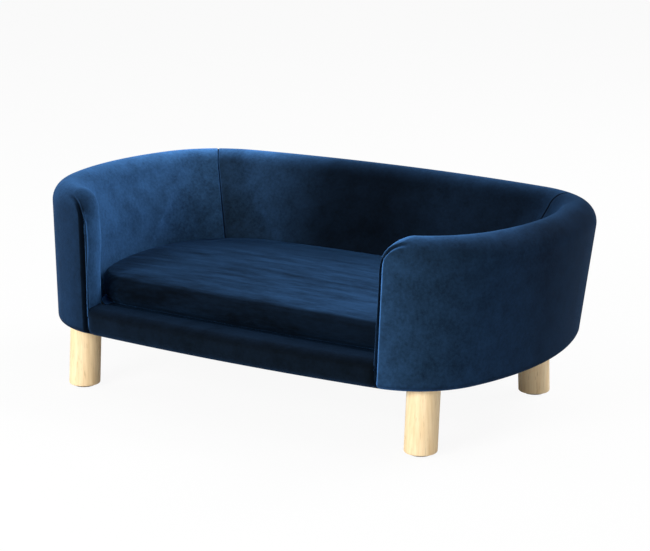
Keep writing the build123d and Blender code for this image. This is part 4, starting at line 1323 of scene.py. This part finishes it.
steel = metal("zinc_steel", (196, 200, 204), (150, 154, 160), 0.3)
dark_metal = metal("zip_metal", (60, 66, 76), (36, 40, 48), 0.35)
glides = plastic("black_plastic", (30, 30, 32), (16, 16, 17), 0.45)
coil = plastic("zip_plastic", (34, 48, 74), (18, 28, 46), 0.4)
print("metals:", steel.name, dark_metal.name, "plastics:", glides.name, coil.name)

# %% [markdown]
# Each piece of the frame keeps the name of its material, and that name chooses the finish. The finishes
# could be given out node by node, but from a table of names none of the nodes is missed.

# %% Give every node its finish
finishes = {
    "leg_wood": leg_wood,
    "plywood": plywood,
    "frame_wood": frame_wood,
    "hardboard": hardboard,
    "zinc_steel": steel,
    "black_plastic": glides,
    "zip_tape": tape_cloth,
    "zip_plastic": coil,
    "zip_metal": dark_metal,
    "lining_cloth": lining,
    "foam": foam_finish,
    "velvet": wall_velvet,
}
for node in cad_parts.values():
    framed = node.data.materials[0].name.split(".")[0]
    node.data.materials.clear()
    node.data.materials.append(finishes[framed])
print("finishes:", len(finishes), "for", len(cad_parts), "nodes")

# %% [markdown]
# ## Studio: floor, light and camera
#
# The photograph was cut out on white. A real white sweep would take a grey shade, so the floor's own glow
# is mixed in where the camera sees it, and a trace of the shadow stays. The sky does the same: it is white
# to the camera and weaker as a light.

# %% Floor and sky
FLOOR_SIZE = 6000           # half its width
FLOOR_GREY = (0.8, 0.8, 0.8, 1)
FLOOR_GLOW = 0.93           # the share of white that the camera sees
AMBIENT = 0.32              # strength of the sky's light on the pieces


def seen_or_lit(name, strength, colour, shade):
    """A pale surface that still takes a soft shadow: its diffuse colour, mixed with a share of white glow
    for rays from the camera."""
    material = bpy.data.materials.new(name)
    material.use_nodes = True
    tree = material.node_tree
    tree.nodes.clear()
    output = tree.nodes.new("ShaderNodeOutputMaterial")
    diffuse = tree.nodes.new("ShaderNodeBsdfDiffuse")
    diffuse.inputs["Color"].default_value = colour
    glow = tree.nodes.new("ShaderNodeEmission")
    glow.inputs["Color"].default_value = (1, 1, 1, 1)
    glow.inputs["Strength"].default_value = strength
    path = tree.nodes.new("ShaderNodeLightPath")
    share = tree.nodes.new("ShaderNodeMath")
    share.operation = "MULTIPLY"
    share.inputs[1].default_value = shade
    mix = tree.nodes.new("ShaderNodeMixShader")
    tree.links.new(path.outputs["Is Camera Ray"], share.inputs[0])
    tree.links.new(share.outputs[0], mix.inputs[0])
    tree.links.new(diffuse.outputs[0], mix.inputs[1])
    tree.links.new(glow.outputs[0], mix.inputs[2])
    tree.links.new(mix.outputs[0], output.inputs["Surface"])
    return material


floor_points = np.array([[-1, -1, 0], [1, -1, 0], [1, 1, 0], [-1, 1, 0]]) * float(FLOOR_SIZE)
floor = new_piece("floor", floor_points, np.array([[0, 1, 2, 3]]),
                  seen_or_lit("floor", 1.0, FLOOR_GREY, FLOOR_GLOW))

world = bpy.data.worlds.new("studio")
bpy.context.scene.world = world
world.use_nodes = True
sky = world.node_tree
background = sky.nodes["Background"]
background.inputs["Color"].default_value = (1, 1, 1, 1)
path = sky.nodes.new("ShaderNodeLightPath")
strength = sky.nodes.new("ShaderNodeMix")
strength.inputs[2].default_value = AMBIENT
strength.inputs[3].default_value = 1.0
sky.links.new(path.outputs["Is Camera Ray"], strength.inputs[0])
sky.links.new(strength.outputs[0], background.inputs["Strength"])
print("the sky lights the pieces with", AMBIENT, "and looks white")

# %% [markdown]
# The light is four soft boxes: a main one in front, a weaker one on the left, one behind on the right that
# catches the inside of the left arm, and a faint one above. Small or distant lamps would give the hard
# shadows that the photograph doesn't have.

# %% Lights
MIDDLE = (0, 0, 0.15)       # metres: what the lamps look at


def lamp(name, place, target, width, height, power):
    """A soft box: an area light at a place, looking at a target. Sizes in metres, power in watts."""
    data = bpy.data.lights.new(name, "AREA")
    data.shape = "RECTANGLE"
    data.size, data.size_y = width, height
    data.energy = power
    light = bpy.data.objects.new(name, data)
    bpy.context.scene.collection.objects.link(light)
    light.location = place
    light.rotation_euler = (Vector(target) - Vector(place)).to_track_quat("-Z", "Y").to_euler()


lamp("front", (-0.4, -2.5, 1.1), MIDDLE, 1.2, 1.0, 62)
lamp("left", (-2.4, -0.6, 1.1), MIDDLE, 1.2, 1.2, 16)
lamp("behind_right", (1.2, 1.7, 1.9), MIDDLE, 1.4, 1.4, 48)
lamp("above", (0, 0.2, 2.4), (0, 0, 0.1), 1.6, 1.2, 8)
print("lamps:", sorted(light.name for light in bpy.data.lights))

# %% [markdown]
# The camera's place, turn and lens were solved from points measured on the photograph, so that the
# picture lies over it. A long lens from far away keeps the sofa's lines nearly parallel, as they are
# there.

# %% Camera
CAMERA_PLACE = (1.45538, -2.23479, 0.82408)     # metres
CAMERA_TILT, CAMERA_TURN = 75.695, 32.905       # degrees
LENS, SENSOR = 118.925, 36.0                    # millimetres
camera_data = bpy.data.cameras.new("camera")
camera_data.lens = LENS
camera_data.sensor_width = SENSOR
camera_data.clip_end = 50
camera = bpy.data.objects.new("camera", camera_data)
bpy.context.scene.collection.objects.link(camera)
camera.location = CAMERA_PLACE
camera.rotation_euler = (math.radians(CAMERA_TILT), 0, math.radians(CAMERA_TURN))
bpy.context.scene.camera = camera
bpy.context.scene.view_settings.view_transform = "Standard"
print("the camera stands", round(math.hypot(*CAMERA_PLACE), 2), "m from the origin")
